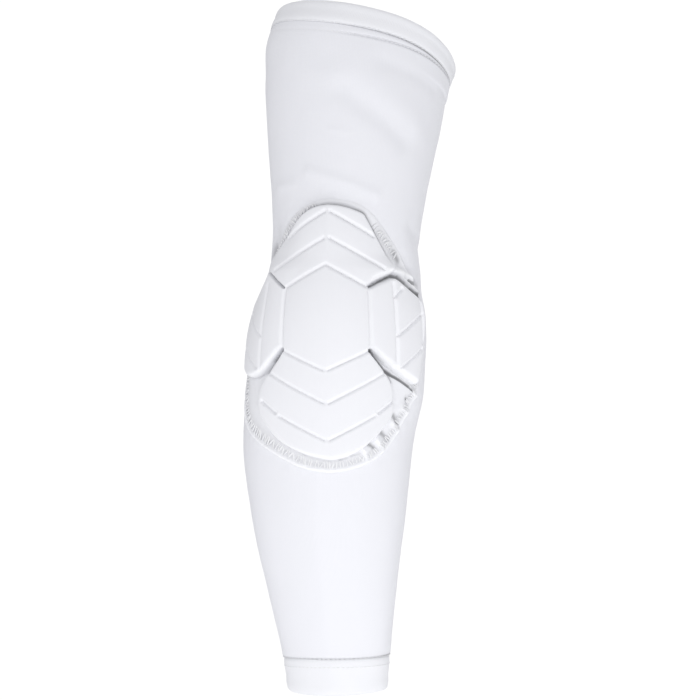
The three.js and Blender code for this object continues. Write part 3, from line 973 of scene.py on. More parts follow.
def sharpen(piece, ring):
    """Keep the shading of the two sides apart along a ring of points."""
    places = np.full(len(piece.data.vertices), -1)
    places[ring] = np.arange(len(ring))
    ends = np.empty(len(piece.data.edges) * 2, np.int32)
    piece.data.edges.foreach_get("vertices", ends)
    first, second = places[ends.reshape(-1, 2)].T
    steps = np.abs(first - second)
    on_ring = (first >= 0) & (second >= 0) & ((steps == 1) | (steps == len(ring) - 1))
    sharp = piece.data.attributes.new("sharp_edge", "BOOLEAN", "EDGE")
    sharp.data.foreach_set("value", on_ring)


def round_angles():
    """Even angles round the arm, starting at the back."""
    return -math.pi + 2 * math.pi * np.arange(COLUMNS) / COLUMNS


def settle(piece, slot, *nodes):
    """Fix a finished piece to the body and stand it in for its solids; the finish slot it is given is
    not used.
    """
    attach(piece, BODY)
    if nodes:
        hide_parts(*nodes)
    return piece


# Shader and geometry nodes

class Bench:
    """Adds nodes to one tree."""

    def __init__(self, tree):
        self.tree = tree

    def add(self, kind, settings=None, sockets=None):
        """A new node: its settings are set first, then its sockets get values or links."""
        node = self.tree.nodes.new(kind)
        for name, value in (settings or {}).items():
            setattr(node, name, value)
        for key, value in (sockets or {}).items():
            if isinstance(value, Signal):
                self.tree.links.new(value.socket, node.inputs[key])
            else:
                node.inputs[key].default_value = value
        return node

    def take(self, kind, settings=None, sockets=None, output=0):
        """One output of a new node."""
        return Signal(self, self.add(kind, settings, sockets).outputs[output])


class Signal:
    """An output socket whose arithmetic adds Math nodes."""

    def __init__(self, bench, socket):
        self.bench = bench
        self.socket = socket

    def math(self, operation, *values):
        sockets = dict(enumerate(values))
        return self.bench.take("ShaderNodeMath", {"operation": operation}, sockets)

    def __add__(self, other):
        return self.math("ADD", self, other)

    def __radd__(self, other):
        return self.math("ADD", other, self)

    def __sub__(self, other):
        return self.math("SUBTRACT", self, other)

    def __rsub__(self, other):
        return self.math("SUBTRACT", other, self)

    def __mul__(self, other):
        return self.math("MULTIPLY", self, other)

    def __rmul__(self, other):
        return self.math("MULTIPLY", other, self)

    def __truediv__(self, other):
        return self.math("DIVIDE", self, other)

    def __mod__(self, other):
        return self.math("FLOORED_MODULO", self, other)

    def __abs__(self):
        return self.math("ABSOLUTE", self)

    def sine(self):
        return self.math("SINE", self)


def blended(bench, share, first, second):
    """Colour between two, by a share."""
    settings = {"data_type": "RGBA"}
    return bench.take("ShaderNodeMix", settings, {0: share, 6: first, 7: second}, 2)


def tinted(colour, factor):
    """The colour made darker or lighter."""
    return tuple(min(1, channel * factor) for channel in colour) + (1,)


def surface_material(name):
    """A new material with its bench and its one surface shader."""
    material = bpy.data.materials.new(name)
    material.use_nodes = True
    material.node_tree.nodes.clear()
    bench = Bench(material.node_tree)
    shader = bench.add("ShaderNodeBsdfPrincipled")
    finish = Signal(bench, shader.outputs["BSDF"])
    bench.add("ShaderNodeOutputMaterial", None, {"Surface": finish})
    return material, bench, shader


def link(bench, signal, shader, name):
    """Join a signal to one of the shader's sockets."""
    bench.tree.links.new(signal.socket, shader.inputs[name])


def knit_material(name, colour, roughness, size, relief, sheen, with_painted_light):
    """Fine knitted fabric: columns of small slanting loops on the piece's own flat coordinates."""
    wale, course = size
    material, bench, shader = surface_material(name)
    place = bench.take("ShaderNodeUVMap", {"uv_map": "cloth"})
    across = bench.take("ShaderNodeSeparateXYZ", None, {0: place}, 0)
    along = bench.take("ShaderNodeSeparateXYZ", None, {0: place}, 1)
    leg = abs((across / wale) % 1.0 - 0.5) * 2.0
    loops = ((along / course + leg * 0.35) * (2 * math.pi)).sine()
    yarn = (1.0 - leg * leg) * (loops * 0.35 + 0.65)
    spots = bench.take("ShaderNodeTexCoord", None, None, 3)
    patches = bench.take("ShaderNodeTexNoise", None, {"Vector": spots, "Scale": 38.0, "Detail": 3.0})
    fibres = bench.take("ShaderNodeTexNoise", None, {"Vector": spots, "Scale": 2600.0, "Detail": 2.0})
    shade = yarn * 0.55 + fibres * 0.25 + patches * 0.2
    cloth = blended(bench, shade, tinted(colour, 0.95), tinted(colour, 1.02))
    # Painted shade and painted highlight, from the values stored on the piece
    if with_painted_light:
        hollow = bench.take("ShaderNodeAttribute", {"attribute_name": "hollow"}, None, 2)
        cloth = blended(bench, hollow, cloth, tinted(colour, PAINTED_SHADE_TINT))
        cloth = blended(bench, 0.0 - hollow, cloth, tinted(colour, PAINTED_HIGHLIGHT_TINT))
    link(bench, cloth, shader, "Base Color")
    link(bench, roughness + 0.07 - yarn * 0.09 - patches * 0.04, shader, "Roughness")
    height = yarn + fibres * 0.3
    bump = bench.take("ShaderNodeBump", None, {"Strength": relief, "Distance": 0.0002, "Height": height})
    link(bench, bump, shader, "Normal")
    shader.inputs["Specular IOR Level"].default_value = 0.3
    shader.inputs["Sheen Weight"].default_value = sheen
    shader.inputs["Sheen Roughness"].default_value = 0.4
    return material


def thread_material(settings):
    """Twisted sewing thread with a slight gloss."""
    material, bench, shader = surface_material("sewing_thread")
    place = bench.take("ShaderNodeTexCoord", None, None, 3)
    parts = [bench.take("ShaderNodeSeparateXYZ", None, {0: place}, axis) for axis in range(3)]
    twist = ((parts[0] + parts[1] + parts[2]) * (2 * math.pi / 0.0005)).sine() * 0.5 + 0.5
    lint = bench.take("ShaderNodeTexNoise", None, {"Vector": place, "Scale": 900.0, "Detail": 2.0})
    shade = twist * 0.6 + lint * 0.4
    colour = settings.colour
    link(bench, blended(bench, shade, tinted(colour, 0.93), tinted(colour, 1.03)), shader, "Base Color")
    link(bench, 0.62 - twist * 0.1, shader, "Roughness")
    bump = bench.take("ShaderNodeBump", None, {"Strength": 0.3, "Distance": 0.0001, "Height": shade})
    link(bench, bump, shader, "Normal")
    shader.inputs["Sheen Weight"].default_value = 0.1
    return material


def shared_material(name, make):
    """The material of that name, made when it is first asked for."""
    return bpy.data.materials.get(name) or make()


STROKE_SIZES = ("Pitch", "Length", "Width", "Height", "Turn", "Slant", "Wander")


def stroke_sizes(settings, pitch, length, thickness, turn, slant, stray):
    """The stitch row's inputs by name. Its strokes are a share of the thread wide and high."""
    wide, high = thickness
    values = (pitch, length, settings.thread * wide, settings.thread * high, turn, slant, stray)
    return dict(zip(STROKE_SIZES, values))


def stitch_tree():
    """Geometry nodes that lay one small thread stroke after another along a line of points."""
    tree = bpy.data.node_groups.new("stitch_row", "GeometryNodeTree")
    bench = Bench(tree)
    face = tree.interface
    face.new_socket("Line", in_out="INPUT", socket_type="NodeSocketGeometry")
    names = {}
    for kind, labels in (("Float", STROKE_SIZES), ("Int", ["Seed"]), ("Material", ["Thread"])):
        for label in labels:
            socket = face.new_socket(label, in_out="INPUT", socket_type="NodeSocket" + kind)
            names[label] = socket.identifier
    face.new_socket("Stitches", in_out="OUTPUT", socket_type="NodeSocketGeometry")
    given = bench.add("NodeGroupInput")
    taken = {output.name: Signal(bench, output) for output in given.outputs if output.name}
    curve = bench.take("GeometryNodeMeshToCurve", None, {"Mesh": taken["Line"]})
    row = bench.take(
        "GeometryNodeResampleCurve", {"mode": "LENGTH"}, {"Curve": curve, "Length": taken["Pitch"]}
    )
    stroke = bench.take("GeometryNodeMeshUVSphere", None, {"Segments": 8, "Rings": 5, "Radius": 0.5})
    normal = bench.take(
        "GeometryNodeInputNamedAttribute", {"data_type": "FLOAT_VECTOR"}, {"Name": "off_cloth"}
    )
    tangent = bench.take("GeometryNodeInputTangent")
    upright = bench.take(
        "FunctionNodeAxesToRotation",
        {"primary_axis": "Z", "secondary_axis": "X"},
        {"Primary Axis": normal, "Secondary Axis": tangent},
    )
    place = bench.take("GeometryNodeInputIndex")
    lean = (place % 2.0) * 2.0 - 1.0
    stray = random_value(bench, {"Min_001": -1.0, "Max_001": 1.0, "Seed": taken["Seed"]})
    other = random_value(bench, {"Min_001": -1.0, "Max_001": 1.0, "Seed": taken["Seed"] + 1.0})
    shift = bench.take(
        "ShaderNodeVectorMath",
        {"operation": "SCALE"},
        {0: tangent, "Scale": other * taken["Wander"] * taken["Pitch"]},
    )
    row = bench.take("GeometryNodeSetPosition", None, {"Geometry": row, "Offset": shift})
    angle = taken["Turn"] + lean * taken["Slant"] + stray * taken["Wander"]
    turn = bench.take("FunctionNodeAxisAngleToRotation", None, {"Axis": (0, 0, 1), "Angle": angle})
    turned = bench.take(
        "FunctionNodeRotateRotation",
        {"rotation_space": "LOCAL"},
        {"Rotation": upright, "Rotate By": turn},
    )
    stretch = bench.take(
        "GeometryNodeInputNamedAttribute", {"data_type": "FLOAT"}, {"Name": "stretch"}
    )
    long = taken["Length"] * stretch * (1.0 + stray * taken["Wander"] * 0.4)
    wide = taken["Width"] * (1.0 + other * taken["Wander"])
    size = bench.take("ShaderNodeCombineXYZ", None, {0: long, 1: wide, 2: taken["Height"]})
    laid = bench.take(
        "GeometryNodeInstanceOnPoints",
        None,
        {"Points": row, "Instance": stroke, "Rotation": turned, "Scale": size},
    )
    real = bench.take("GeometryNodeRealizeInstances", None, {"Geometry": laid})
    done = bench.take("GeometryNodeSetMaterial", None, {"Geometry": real, "Material": taken["Thread"]})
    bench.add("NodeGroupOutput", None, {0: done})
    return tree, names


def random_value(bench, sockets):
    """A fixed random number for each point, between two limits."""
    node = bench.add("FunctionNodeRandomValue", {"data_type": "FLOAT"})
    limits = {socket.identifier: socket for socket in node.inputs}
    for identifier, value in sockets.items():
        if isinstance(value, Signal):
            bench.tree.links.new(value.socket, limits[identifier])
        else:
            limits[identifier].default_value = value
    return Signal(bench, node.outputs[1])


def stitch_rows(name, lines, sizes, settings):
    """One plain mesh of stitches along lines of points, each with its directions off the cloth."""
    mesh = bpy.data.meshes.new(name + "_lines")
    points = []
    normals = []
    edges = []
    stretches = []
    for line, off, stretch, closed in lines:
        edges += chain(len(points), len(line), closed)
        stretches += list(stretch)
        points += [tuple(point) for point in line]
        normals += [tuple(direction) for direction in off]
    mesh.from_pydata(points, edges, [])
    off_cloth = mesh.attributes.new("off_cloth", "FLOAT_VECTOR", "POINT")
    off_cloth.data.foreach_set("vector", np.asarray(normals, np.float32).ravel())
    longer = mesh.attributes.new("stretch", "FLOAT", "POINT")
    longer.data.foreach_set("value", np.asarray(stretches, np.float32))
    guide = bpy.data.objects.new(name + "_guide", mesh)
    bpy.context.scene.collection.objects.link(guide)
    tree, names = stitch_tree()
    modifier = guide.modifiers.new("stitches", "NODES")
    modifier.node_group = tree
    thread = shared_material("sewing_thread", lambda: thread_material(settings))
    for label, value in {**sizes, "Seed": settings.seed, "Thread": thread}.items():
        modifier[names[label]] = value
    graph = bpy.context.evaluated_depsgraph_get()
    plain = bpy.data.meshes.new_from_object(guide.evaluated_get(graph))
    guide.modifiers.remove(modifier)
    bpy.data.objects.remove(guide)
    plain.name = name
    plain.polygons.foreach_set("use_smooth", np.ones(len(plain.polygons), bool))
    made = bpy.data.objects.new(name, plain)
    bpy.context.scene.collection.objects.link(made)
    return made


def directions_off(low, high):
    """Directions from points under the face to points over it."""
    off = high - low
    return off / np.linalg.norm(off, axis=1, keepdims=True)


def ring_line(height, lift, upper, drop=0):
    """A line of points once round the sleeve at one of its hems, with its directions off the cloth."""
    angles = round_angles()
    lean, sway, _ = hem_wave(angles, upper)
    heights = height + sway - drop
    lifts = lift + lean
    line = sleeve_points(heights, angles, lifts)
    return line, directions_off(line, sleeve_points(heights, angles, lifts + 1)), np.ones(COLUMNS), True


# Materials of the pieces

def fabric_material(fabric):
    """The tube's knit, with painted shade in its pinches and hem seams."""
    size = (fabric.wale, fabric.course)
    return knit_material("compression_knit", fabric.colour, fabric.roughness, size, 0.35, 0.15, True)


def hem_material(fabric):
    """The hems' doubled knit."""
    size = (fabric.wale, fabric.course)
    return knit_material("hem_knit", fabric.hem_colour, fabric.roughness, size, 0.4, 0.15, False)


def cover_material(pad):
    """The pad's smooth moulded cover, with painted shade in its creases and painted highlights on its
    lower walls.
    """
    return knit_material("pad_cover_knit", pad.colour, pad.roughness, (0.0006, 0.00045), 0.2, 0.1, True)


# Pieces

class ARM_SLEEVE_OT_elbow_pad(Operator):
    """Mould the elbow pad from its flat pattern and wrap it round the sleeve"""

    bl_idname = "arm_sleeve.elbow_pad"
    bl_label = "Elbow pad"

    def execute(self, context):
        pad = context.scene.sleeve_pad
        raised, border = pad_loops()
        points, edges = pattern_points(pad, raised, border)
        flat, faces, _ = triangulated(points, edges, MERGE_FACE)
        faces = facing_up(flat, faces)
        lifts = pad_face(flat, pad, raised, border)
        ring = edge_ring(faces)
        lifts[ring] = BORDER_GROUND
        under_points = lattice(UNDER_STEP)[0]
        under_points = under_points[loop_distance(under_points, border) > UNDER_CLEAR]
        under_points = np.concatenate([flat[ring], under_points])
        rim = chain(0, len(ring), True)
        under_flat, under_faces, origins = triangulated(under_points, rim, MERGE_UNDER)
        under_faces = facing_up(under_flat, under_faces)
        numbers = []
        extra = []
        for place, origin in enumerate(origins):
            if origin and origin[0] < len(ring):
                numbers.append(ring[origin[0]])
            else:
                numbers.append(len(flat) + len(extra))
                extra.append(under_flat[place])
        extra = np.array(extra)
        all_flat = np.concatenate([flat, extra])
        all_lifts = np.concatenate([lifts, np.full(len(extra), UNDERSIDE)])
        all_faces = faces + [tuple(numbers[point] for point in reversed(face)) for face in under_faces]
        corners = [all_flat[point] * MM for face in all_faces for point in face]
        material = shared_material("pad_cover_knit", lambda: cover_material(pad))
        all_points = pad_points(all_flat, all_lifts)
        piece = mesh_object("elbow_pad_cover", all_points, all_faces, corners, material)
        # Painted shade in the pad's creases and painted highlights on its lower walls
        store_painted_light(piece, painted_pad_light(all_flat, pad, raised, border))
        sharpen(piece, ring)
        settle(piece, "pad_cover", "elbow_pad")
        return {"FINISHED"}


OVERLOCK_STEP = 1.0
OVERLOCK_LIFT = 0.2
EVENED_REACH = 4
ACROSS = math.pi / 2


def evened(values):
    """A closed row of values, each averaged with its neighbours."""
    shifts = range(-EVENED_REACH, EVENED_REACH + 1)
    return np.mean([np.roll(values, shift) for shift in shifts], axis=0)


class ARM_SLEEVE_OT_pad_stitches(Operator):
    """Sew the overlock stitches round the pad's border"""

    bl_idname = "arm_sleeve.pad_stitches"
    bl_label = "Pad stitches"

    def execute(self, context):
        settings = context.scene.sleeve_stitches
        raised, border = pad_loops()
        border = even_line(border, OVERLOCK_STEP, True)
        along = np.roll(border, -1, axis=0) - np.roll(border, 1, axis=0)
        along /= np.linalg.norm(along, axis=1, keepdims=True)
        inward = np.stack([along[:, 1], -along[:, 0]], axis=1)
        spans = stitch_span(-loop_distance(border, raised), border[:, 0])
        length, inset = (evened(part) for part in spans)
        line = border + inward * inset[:, None]
        lifts = border_face(line, inset)
        points = pad_points(line, lifts + OVERLOCK_LIFT)
        off = directions_off(points, pad_points(line, lifts + OVERLOCK_LIFT + 1))
        stretch = length * MM / settings.overlock_length
        shown = stitched(border) > 0.5
        start = np.flatnonzero(shown & ~np.roll(shown, 1))[0]
        order = np.roll(np.arange(len(border)), -start)
        breaks = np.flatnonzero(np.diff(shown[order].astype(int))) + 1
        runs = [run for run in np.split(order, breaks) if shown[run[0]]]
        pitch, long = settings.overlock_pitch, settings.overlock_length
        sizes = stroke_sizes(settings, pitch, long, (1.7, 1.5), ACROSS, slant=0.1, stray=0.34)
        rows = [(points[run], off[run], stretch[run], False) for run in runs]
        piece = stitch_rows("pad_overlock", rows, sizes, settings)
        settle(piece, "pad_cover")
        return {"FINISHED"}


class ARM_SLEEVE_OT_hem_bands(Operator):
    """Fold the doubled hem bands at the upper arm and the wrist"""

    bl_idname = "arm_sleeve.hem_bands"
    bl_label = "Hem bands"

    def execute(self, context):
        fabric = context.scene.sleeve_fabric
        material = shared_material("hem_knit", lambda: hem_material(fabric))
        for name, node, seam, edge, proud in (
            ("upper_hem", "upper_cuff", UPPER_SEAM, UPPER_EDGE, fabric.hem_proud / MM),
            ("wrist_hem", "wrist_cuff", WRIST_SEAM, WRIST_EDGE, WRIST_PROUD),
        ):
            piece = hem_band(name, seam, edge, proud, fabric, material)
            settle(piece, "hem_fabric", node)
        return {"FINISHED"}


def hem_band(name, seam, edge, proud, fabric, material):
    """One doubled band between its seam and its free, rolled edge."""
    upper = edge > seam
    inner = proud - fabric.hem_wall / MM
    start = seam + math.copysign(SEAM_GAP / 2, edge - seam)
    profile = [(share, inner + offset) for share, offset in HEM_INNER_START]
    profile += [(share, proud + offset) for share, offset in HEM_OUTER]
    profile += [(share, inner + offset) for share, offset in HEM_INNER_END]
    shares, lifts = np.array(profile if upper else profile[::-1]).T
    angles = round_angles()
    spots = sleeve_points(np.full(COLUMNS, (seam + edge) / 2), angles, np.zeros(COLUMNS))
    uneven = HEM_ROUGH * wander(spots, HEM_ROUGH_SIZE, HEM_ROUGH_SHIFT)
    lean, sway, bow = hem_wave(angles, upper)
    heights = start + (edge - start) * shares + sway[:, None] + bow[:, None] * shares
    lifts = lifts + uneven[:, None] * smooth_step(inner, proud, lifts)
    if upper:
        flat_seam = left_share(angles)[:, None]
        near_seam = (shares < SEAM_SHARE) & (lifts.mean(axis=0) > inner + SEAM_FOOT)
        lifts = lifts + np.maximum(0, FLUSH_SEAM - lifts) * near_seam * flat_seam
        heights = heights - SEAM_GAP * SEAM_CLOSING * (shares < SEAM_FOOT_SHARE) * flat_seam
    return swept_ring(name, heights, lifts + lean[:, None], angles, material)


def bulges(angles, rows):
    """Sum of round bumps about angles from the front."""
    total = np.zeros(len(angles))
    for middle, width, height in rows:
        total += height * bell(wrapped(angles - math.radians(middle)), math.radians(width))
    return total


def left_share(angles):
    """How far an angle is to the front left, where the upper seam lies flat and hardly shows."""
    return window(np.degrees(wrapped(angles)), *FLAT_SEAM)


def second_row(angles, gap):
    """Distance of the upper hem's second needle row below its seam, which it nears at the right."""
    return gap * (SECOND_ROW_GAP + bulges(angles, SECOND_ROW_CLOSING))


def hem_wave(angles, upper):
    """How a hem leans in, how its seam wanders, and how its free edge bows, round the arm."""
    lean, seam, bow = (bulges(angles, rows) for rows in (UPPER_WAVE if upper else WRIST_WAVE))
    if not upper:
        seam = seam - WRIST_DROP
        bow = bow - seam
    return lean, seam, bow


def wrapped(angles):
    """The same angles within half a turn of the front."""
    return (angles + math.pi) % (2 * math.pi) - math.pi


UPPER_ROW_LIFT = 0.35
SECOND_ROW_LIFT = -0.3


class ARM_SLEEVE_OT_hem_stitches(Operator):
    """Sew the twin needle rows at both hems"""

    bl_idname = "arm_sleeve.hem_stitches"
    bl_label = "Hem stitches"

    def execute(self, context):
        settings = context.scene.sleeve_stitches
        gap = settings.row_gap / MM
        lines = [
            ring_line(UPPER_SEAM, UPPER_ROW_LIFT, True),
            ring_line(UPPER_SEAM, SECOND_ROW_LIFT, True, second_row(round_angles(), gap)),
            ring_line(WRIST_SEAM, WRIST_PROUD, False),
            ring_line(WRIST_SEAM - WRIST_ROW, WRIST_PROUD, False),
        ]
        pitch, long = settings.row_pitch, settings.row_length
        sizes = stroke_sizes(settings, pitch, long, (1, 1), turn=0.0, slant=0.0, stray=0.05)
        settle(stitch_rows("hem_stitch_rows", lines, sizes, settings), "hem_fabric")
        return {"FINISHED"}


BACK_SEAM_LIFT = 0.1
BACK_SEAM_ROWS = (WRIST_SEAM + 2, UPPER_SEAM - 6, 2.0)
BACK_SEAM_PITCH = 1.1


class ARM_SLEEVE_OT_back_seam(Operator):
    """Sew the long flat seam down the back of the tube"""

    bl_idname = "arm_sleeve.back_seam"
    bl_label = "Back seam"

    def execute(self, context):
        settings = context.scene.sleeve_stitches
        heights = np.arange(*BACK_SEAM_ROWS)
        angles = np.full(len(heights), math.pi)
        lifts = tube_lift(angles, heights, context.scene.sleeve_fabric, settings) + BACK_SEAM_LIFT
        line = sleeve_points(heights, angles, lifts)
        off = directions_off(line, sleeve_points(heights, angles, lifts + 1))
        pitch, long = settings.overlock_pitch * BACK_SEAM_PITCH, settings.overlock_length
        sizes = stroke_sizes(settings, pitch, long, (1, 1), ACROSS, slant=0.22, stray=0.05)
        rows = [(line, off, np.ones(len(line)), False)]
        settle(stitch_rows("back_seam_stitches", rows, sizes, settings), "knit_fabric")
        return {"FINISHED"}


def tube_lift(angles, heights, fabric, stitches):
    """How far the tube stands off the plain form: folds, creases, puckers, hem seams and pinches."""
    flat = flat_places(angles, heights)
    off_pad = -loop_distance(flat, pad_loops()[1])
    free = smooth_step(*FREE_RUN, off_pad)
    ends = smooth_step(*SEAM_RUN, np.minimum(heights - WRIST_SEAM, UPPER_SEAM - heights))
    spots = sleeve_points(heights, angles, np.zeros(len(heights)))
    broad = sum(wander(spots, size, shift) * share for size, shift, share in TUBE_WAVES)
    near_pad = bell(np.maximum(0, off_pad - PUCKER_PLACE), PUCKER_WIDTH)
    near_pad = near_pad * smooth_step(*PUCKER_RUN, off_pad)
    lift = fold_lift(angles, heights, CREASES) * free
    lift += fabric.softness / MM * broad * free * ends
    lift += PUCKER_HEIGHT * wander(spots, PUCKER_SIZE, PUCKER_SHIFT) * near_pad
    lift += hem_wave(angles, True)[0] * smooth_step(*LEAN_RUN, heights)
    right = TURNED_IN_LEAST + bulges(angles, TURNED_IN_RIGHT)
    turned_in = fabric.hem_proud / MM * right * smooth_step(*TURNED_IN_RUN, heights)
    row = UPPER_SEAM - second_row(angles, stitches.row_gap / MM)
    flat_seam = left_share(angles)
    needle = between(NEEDLE_DEPTH, flat_seam) * bell(heights - row, NEEDLE_WIDTH)
    sunk = SEAM_SINK * bell(heights - UPPER_SEAM, SEAM_WIDTH) * (1 - flat_seam)
    sunk += SEAM_SINK * bell(heights - WRIST_SEAM, SEAM_WIDTH)
    pinched = PINCH_DEPTH * line_shade(flat, TUBE_HOLLOWS)
    folds = fold_lift(angles, heights, FOLDS + FULLNESS)
    return folds + lift + turned_in - needle - sunk - pinched


def seam_shade(angles, heights, stitches):
    """Painted shade in the tube's hem seams: the upper one at the right, the wrist's at its ends."""
    right = bulges(angles, SHADED_RIGHT)
    row = UPPER_SEAM - second_row(angles, stitches.row_gap / MM)
    upper = between(UPPER_SEAM_SHADE, right) * bell(heights - UPPER_SEAM, UPPER_SEAM_WIDTH)
    upper = upper + ROW_SHADE * right * bell(heights - row, ROW_SHADE_WIDTH)
    upper = upper * (1 - left_share(angles))
    across = np.sin(angles)
    ends = np.abs(across) ** WRIST_END_POWER * np.where(across > 0, *WRIST_END_SHADES)
    return np.maximum(upper, (WRIST_SHADE + ends) * bell(heights - WRIST_SEAM, SEAM_WIDTH))


def tube_rows():
    """Heights of the tube's rows up its outside, finer at hems and pinches, and down its inside."""
    foot = WRIST_SEAM + SEAM_GAP / 2
    top = UPPER_SEAM - SEAM_GAP / 2
    even = np.linspace(foot, top, round((top - foot) / TUBE_STEP))
    fine = [np.arange(*span) for span in FINE_ROWS]
    outside = np.unique(np.concatenate([even, *fine, EXTRA_ROWS]))
    outside = outside[np.concatenate([[True], np.diff(outside) > LEAST_ROW])]
    return outside, np.linspace(top, foot, round((top - foot) / INNER_STEP))


class ARM_SLEEVE_OT_knitted_tube(Operator):
    bl_idname = "arm_sleeve.knitted_tube"
    bl_label = "Knitted tube"

    def execute(self, context):
        fabric = context.scene.sleeve_fabric
        stitches = context.scene.sleeve_stitches
        outside, inside = tube_rows()
        heights = np.concatenate([outside, inside])
        angles = round_angles()
        around = np.repeat(angles, len(heights))
        along = np.tile(heights, COLUMNS)
        wall = np.concatenate([np.zeros(len(outside)), np.full(len(inside), fabric.wall / MM)])
        lifts = tube_lift(around, along, fabric, stitches).reshape(COLUMNS, len(heights)) - wall
        material = shared_material("compression_knit", lambda: fabric_material(fabric))
        upper = hem_wave(angles, True)[1][:, None] * smooth_step(*UPPER_SWAY_RUN, heights)
        lower = hem_wave(angles, False)[1][:, None] * smooth_step(*WRIST_SWAY_RUN, heights)
        piece = swept_ring("knit_tube", heights + upper + lower, lifts, angles, material)
        # Painted shade in the pinches and the hem seams
        painted_amount = PINCH_PAINTED_SHADE * line_shade(flat_places(around, along), TUBE_HOLLOWS)
        store_painted_light(piece, np.maximum(painted_amount, seam_shade(around, along, stitches)))
        settle(piece, "knit_fabric", "sleeve_tube")
        return {"FINISHED"}


# Lights by the name of their power setting: place and size in metres
LIGHTS = [
    ("key", (0.25, -1.05, -1.05), 0.8),
    ("fill", (-1.7, -0.8, 0.4), 1.0),
    ("side", (1.75, -0.7, 0.4), 1.0),
    ("back", (0.3, 1.5, 1.0), 1.0),
]
FLOOR_RADIUS = 0.33
FLOOR_SIDES = 96
FLOOR_GLOW = 0.07
STUDIO_COLOUR = (0.98, 0.98, 1.0, 1)
WHITE = (1, 1, 1, 1)
WHITE_LEVEL = 1.05
FRONT_GAIN = 0.4
CAMERA_TURN = math.radians(7.3)
CAMERA_AIM = (7.48, -17.27)
SENSOR_WIDTH = 36


class ARM_SLEEVE_OT_stage(Operator):
    """Set the floor, the soft lights, the pale surroundings and the camera"""

    bl_idname = "arm_sleeve.stage"
    bl_label = "Stage"

    def execute(self, context):
        stage = context.scene.sleeve_stage
        add_floor(stage)
        for name, place, size in LIGHTS:
            add_light(name + "_light", place, size, getattr(stage, name))
        add_surroundings(context.scene, stage)
        add_camera(context.scene, stage)
        context.scene.view_settings.view_transform = "Standard"
        return {"FINISHED"}


def add_floor(stage):
    """A plain pale round floor under the sleeve, which hangs as on an arm."""
    level = WRIST_EDGE * MM - stage.floor_drop
    turns = [2 * math.pi * side / FLOOR_SIDES for side in range(FLOOR_SIDES)]
    points = [(FLOOR_RADIUS * math.cos(turn), FLOOR_RADIUS * math.sin(turn), level) for turn in turns]
    mesh = bpy.data.meshes.new("pale_floor")
    mesh.from_pydata(points, [], [tuple(range(FLOOR_SIDES))])
    material, bench, shader = surface_material("floor_paint")
    place = bench.take("ShaderNodeTexCoord", None, None, 3)
    grain = bench.take("ShaderNodeTexNoise", None, {"Vector": place, "Scale": 60.0, "Detail": 4.0})
    colour = stage.floor_colour
    link(bench, blended(bench, grain, tinted(colour, 0.98), tinted(colour, 1.02)), shader, "Base Color")
    link(bench, 0.7 + grain * 0.1, shader, "Roughness")
    shader.inputs["Emission Color"].default_value = WHITE
    shader.inputs["Emission Strength"].default_value = FLOOR_GLOW
    mesh.materials.append(material)
    floor = bpy.data.objects.new("pale_floor", mesh)
    bpy.context.scene.collection.objects.link(floor)
    floor.visible_shadow = False


def add_light(name, place, size, power):
    """A soft square light that faces the middle of the sleeve."""
    lamp = bpy.data.lights.new(name, "AREA")
    lamp.size = size
    lamp.energy = power
    light = bpy.data.objects.new(name, lamp)
    light.location = place
    light.rotation_euler = (-Vector(place)).to_track_quat("-Z", "Y").to_euler()
    light.visible_camera = False
    bpy.context.scene.collection.objects.link(light)


def add_surroundings(scene, stage):
    """White behind the sleeve, and a softer grey studio that lights it."""
    world = bpy.data.worlds.new("pale_studio")
    world.use_nodes = True
    world.node_tree.nodes.clear()
    bench = Bench(world.node_tree)
    toward = bench.take("ShaderNodeTexCoord", None, None, 0)
    front = 0.0 - bench.take("ShaderNodeSeparateXYZ", None, {0: toward}, 1)
    level = (front * FRONT_GAIN + 1.0) * stage.ambient
    studio = bench.take("ShaderNodeBackground", None, {"Color": STUDIO_COLOUR, "Strength": level})
    white = bench.take("ShaderNodeBackground", None, {"Color": WHITE, "Strength": WHITE_LEVEL})
    seen = bench.take("ShaderNodeLightPath")
    mixed = bench.take("ShaderNodeMixShader", None, {0: seen, 1: studio, 2: white})
    bench.add("ShaderNodeOutputWorld", None, {"Surface": mixed})
    scene.world = world


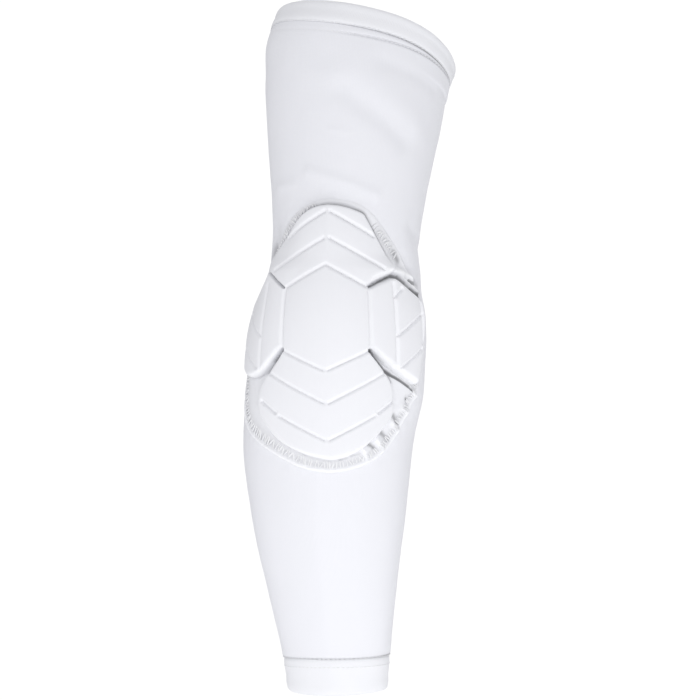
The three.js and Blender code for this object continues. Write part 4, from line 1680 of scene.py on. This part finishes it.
def add_camera(scene, stage):
    """The photographer's camera, level with the sleeve's middle and a little to its right."""
    lens = bpy.data.cameras.new("camera")
    lens.lens = stage.lens
    lens.sensor_width = SENSOR_WIDTH
    camera = bpy.data.objects.new("camera", lens)
    right = Vector((math.cos(CAMERA_TURN), math.sin(CAMERA_TURN), 0))
    ahead = Vector((-math.sin(CAMERA_TURN), math.cos(CAMERA_TURN), 0))
    aim = right * CAMERA_AIM[0] * MM + Vector((0, 0, CAMERA_AIM[1] * MM))
    camera.location = aim - ahead * stage.camera_distance
    camera.rotation_euler = (math.pi / 2, 0, CAMERA_TURN)
    scene.collection.objects.link(camera)
    scene.camera = camera


class ARM_SLEEVE_PT_builder(Panel):
    """Lists the sleeve's settings and the steps that build it"""

    bl_idname = "ARM_SLEEVE_PT_builder"
    bl_label = "Padded arm sleeve"
    bl_space_type = "VIEW_3D"
    bl_region_type = "UI"
    bl_category = "Sleeve"

    def draw(self, context):
        for holder in SETTINGS:
            box = self.layout.box()
            for name in getattr(context.scene, holder).bl_rna.properties.keys():
                if name not in ("rna_type", "name"):
                    box.prop(getattr(context.scene, holder), name)
        for step in STEPS:
            self.layout.operator(step.bl_idname)


SETTINGS = {
    "sleeve_fabric": FabricSettings,
    "sleeve_pad": PadSettings,
    "sleeve_stitches": StitchSettings,
    "sleeve_stage": StageSettings,
}
STEPS = (
    ARM_SLEEVE_OT_elbow_pad,
    ARM_SLEEVE_OT_pad_stitches,
    ARM_SLEEVE_OT_hem_bands,
    ARM_SLEEVE_OT_hem_stitches,
    ARM_SLEEVE_OT_back_seam,
    ARM_SLEEVE_OT_knitted_tube,
    ARM_SLEEVE_OT_stage,
)


def register():
    for group in SETTINGS.values():
        bpy.utils.register_class(group)
    for holder, group in SETTINGS.items():
        setattr(bpy.types.Scene, holder, PointerProperty(type=group))
    for step in STEPS:
        bpy.utils.register_class(step)
    bpy.utils.register_class(ARM_SLEEVE_PT_builder)


def unregister():
    bpy.utils.unregister_class(ARM_SLEEVE_PT_builder)
    for step in reversed(STEPS):
        bpy.utils.unregister_class(step)
    for holder, group in SETTINGS.items():
        delattr(bpy.types.Scene, holder)
        bpy.utils.unregister_class(group)


def main():
    register()
    bpy.ops.arm_sleeve.elbow_pad()
    bpy.ops.arm_sleeve.pad_stitches()
    bpy.ops.arm_sleeve.hem_bands()
    bpy.ops.arm_sleeve.hem_stitches()
    bpy.ops.arm_sleeve.back_seam()
    bpy.ops.arm_sleeve.knitted_tube()
    bpy.ops.arm_sleeve.stage()


if __name__ == "__main__":
    main()
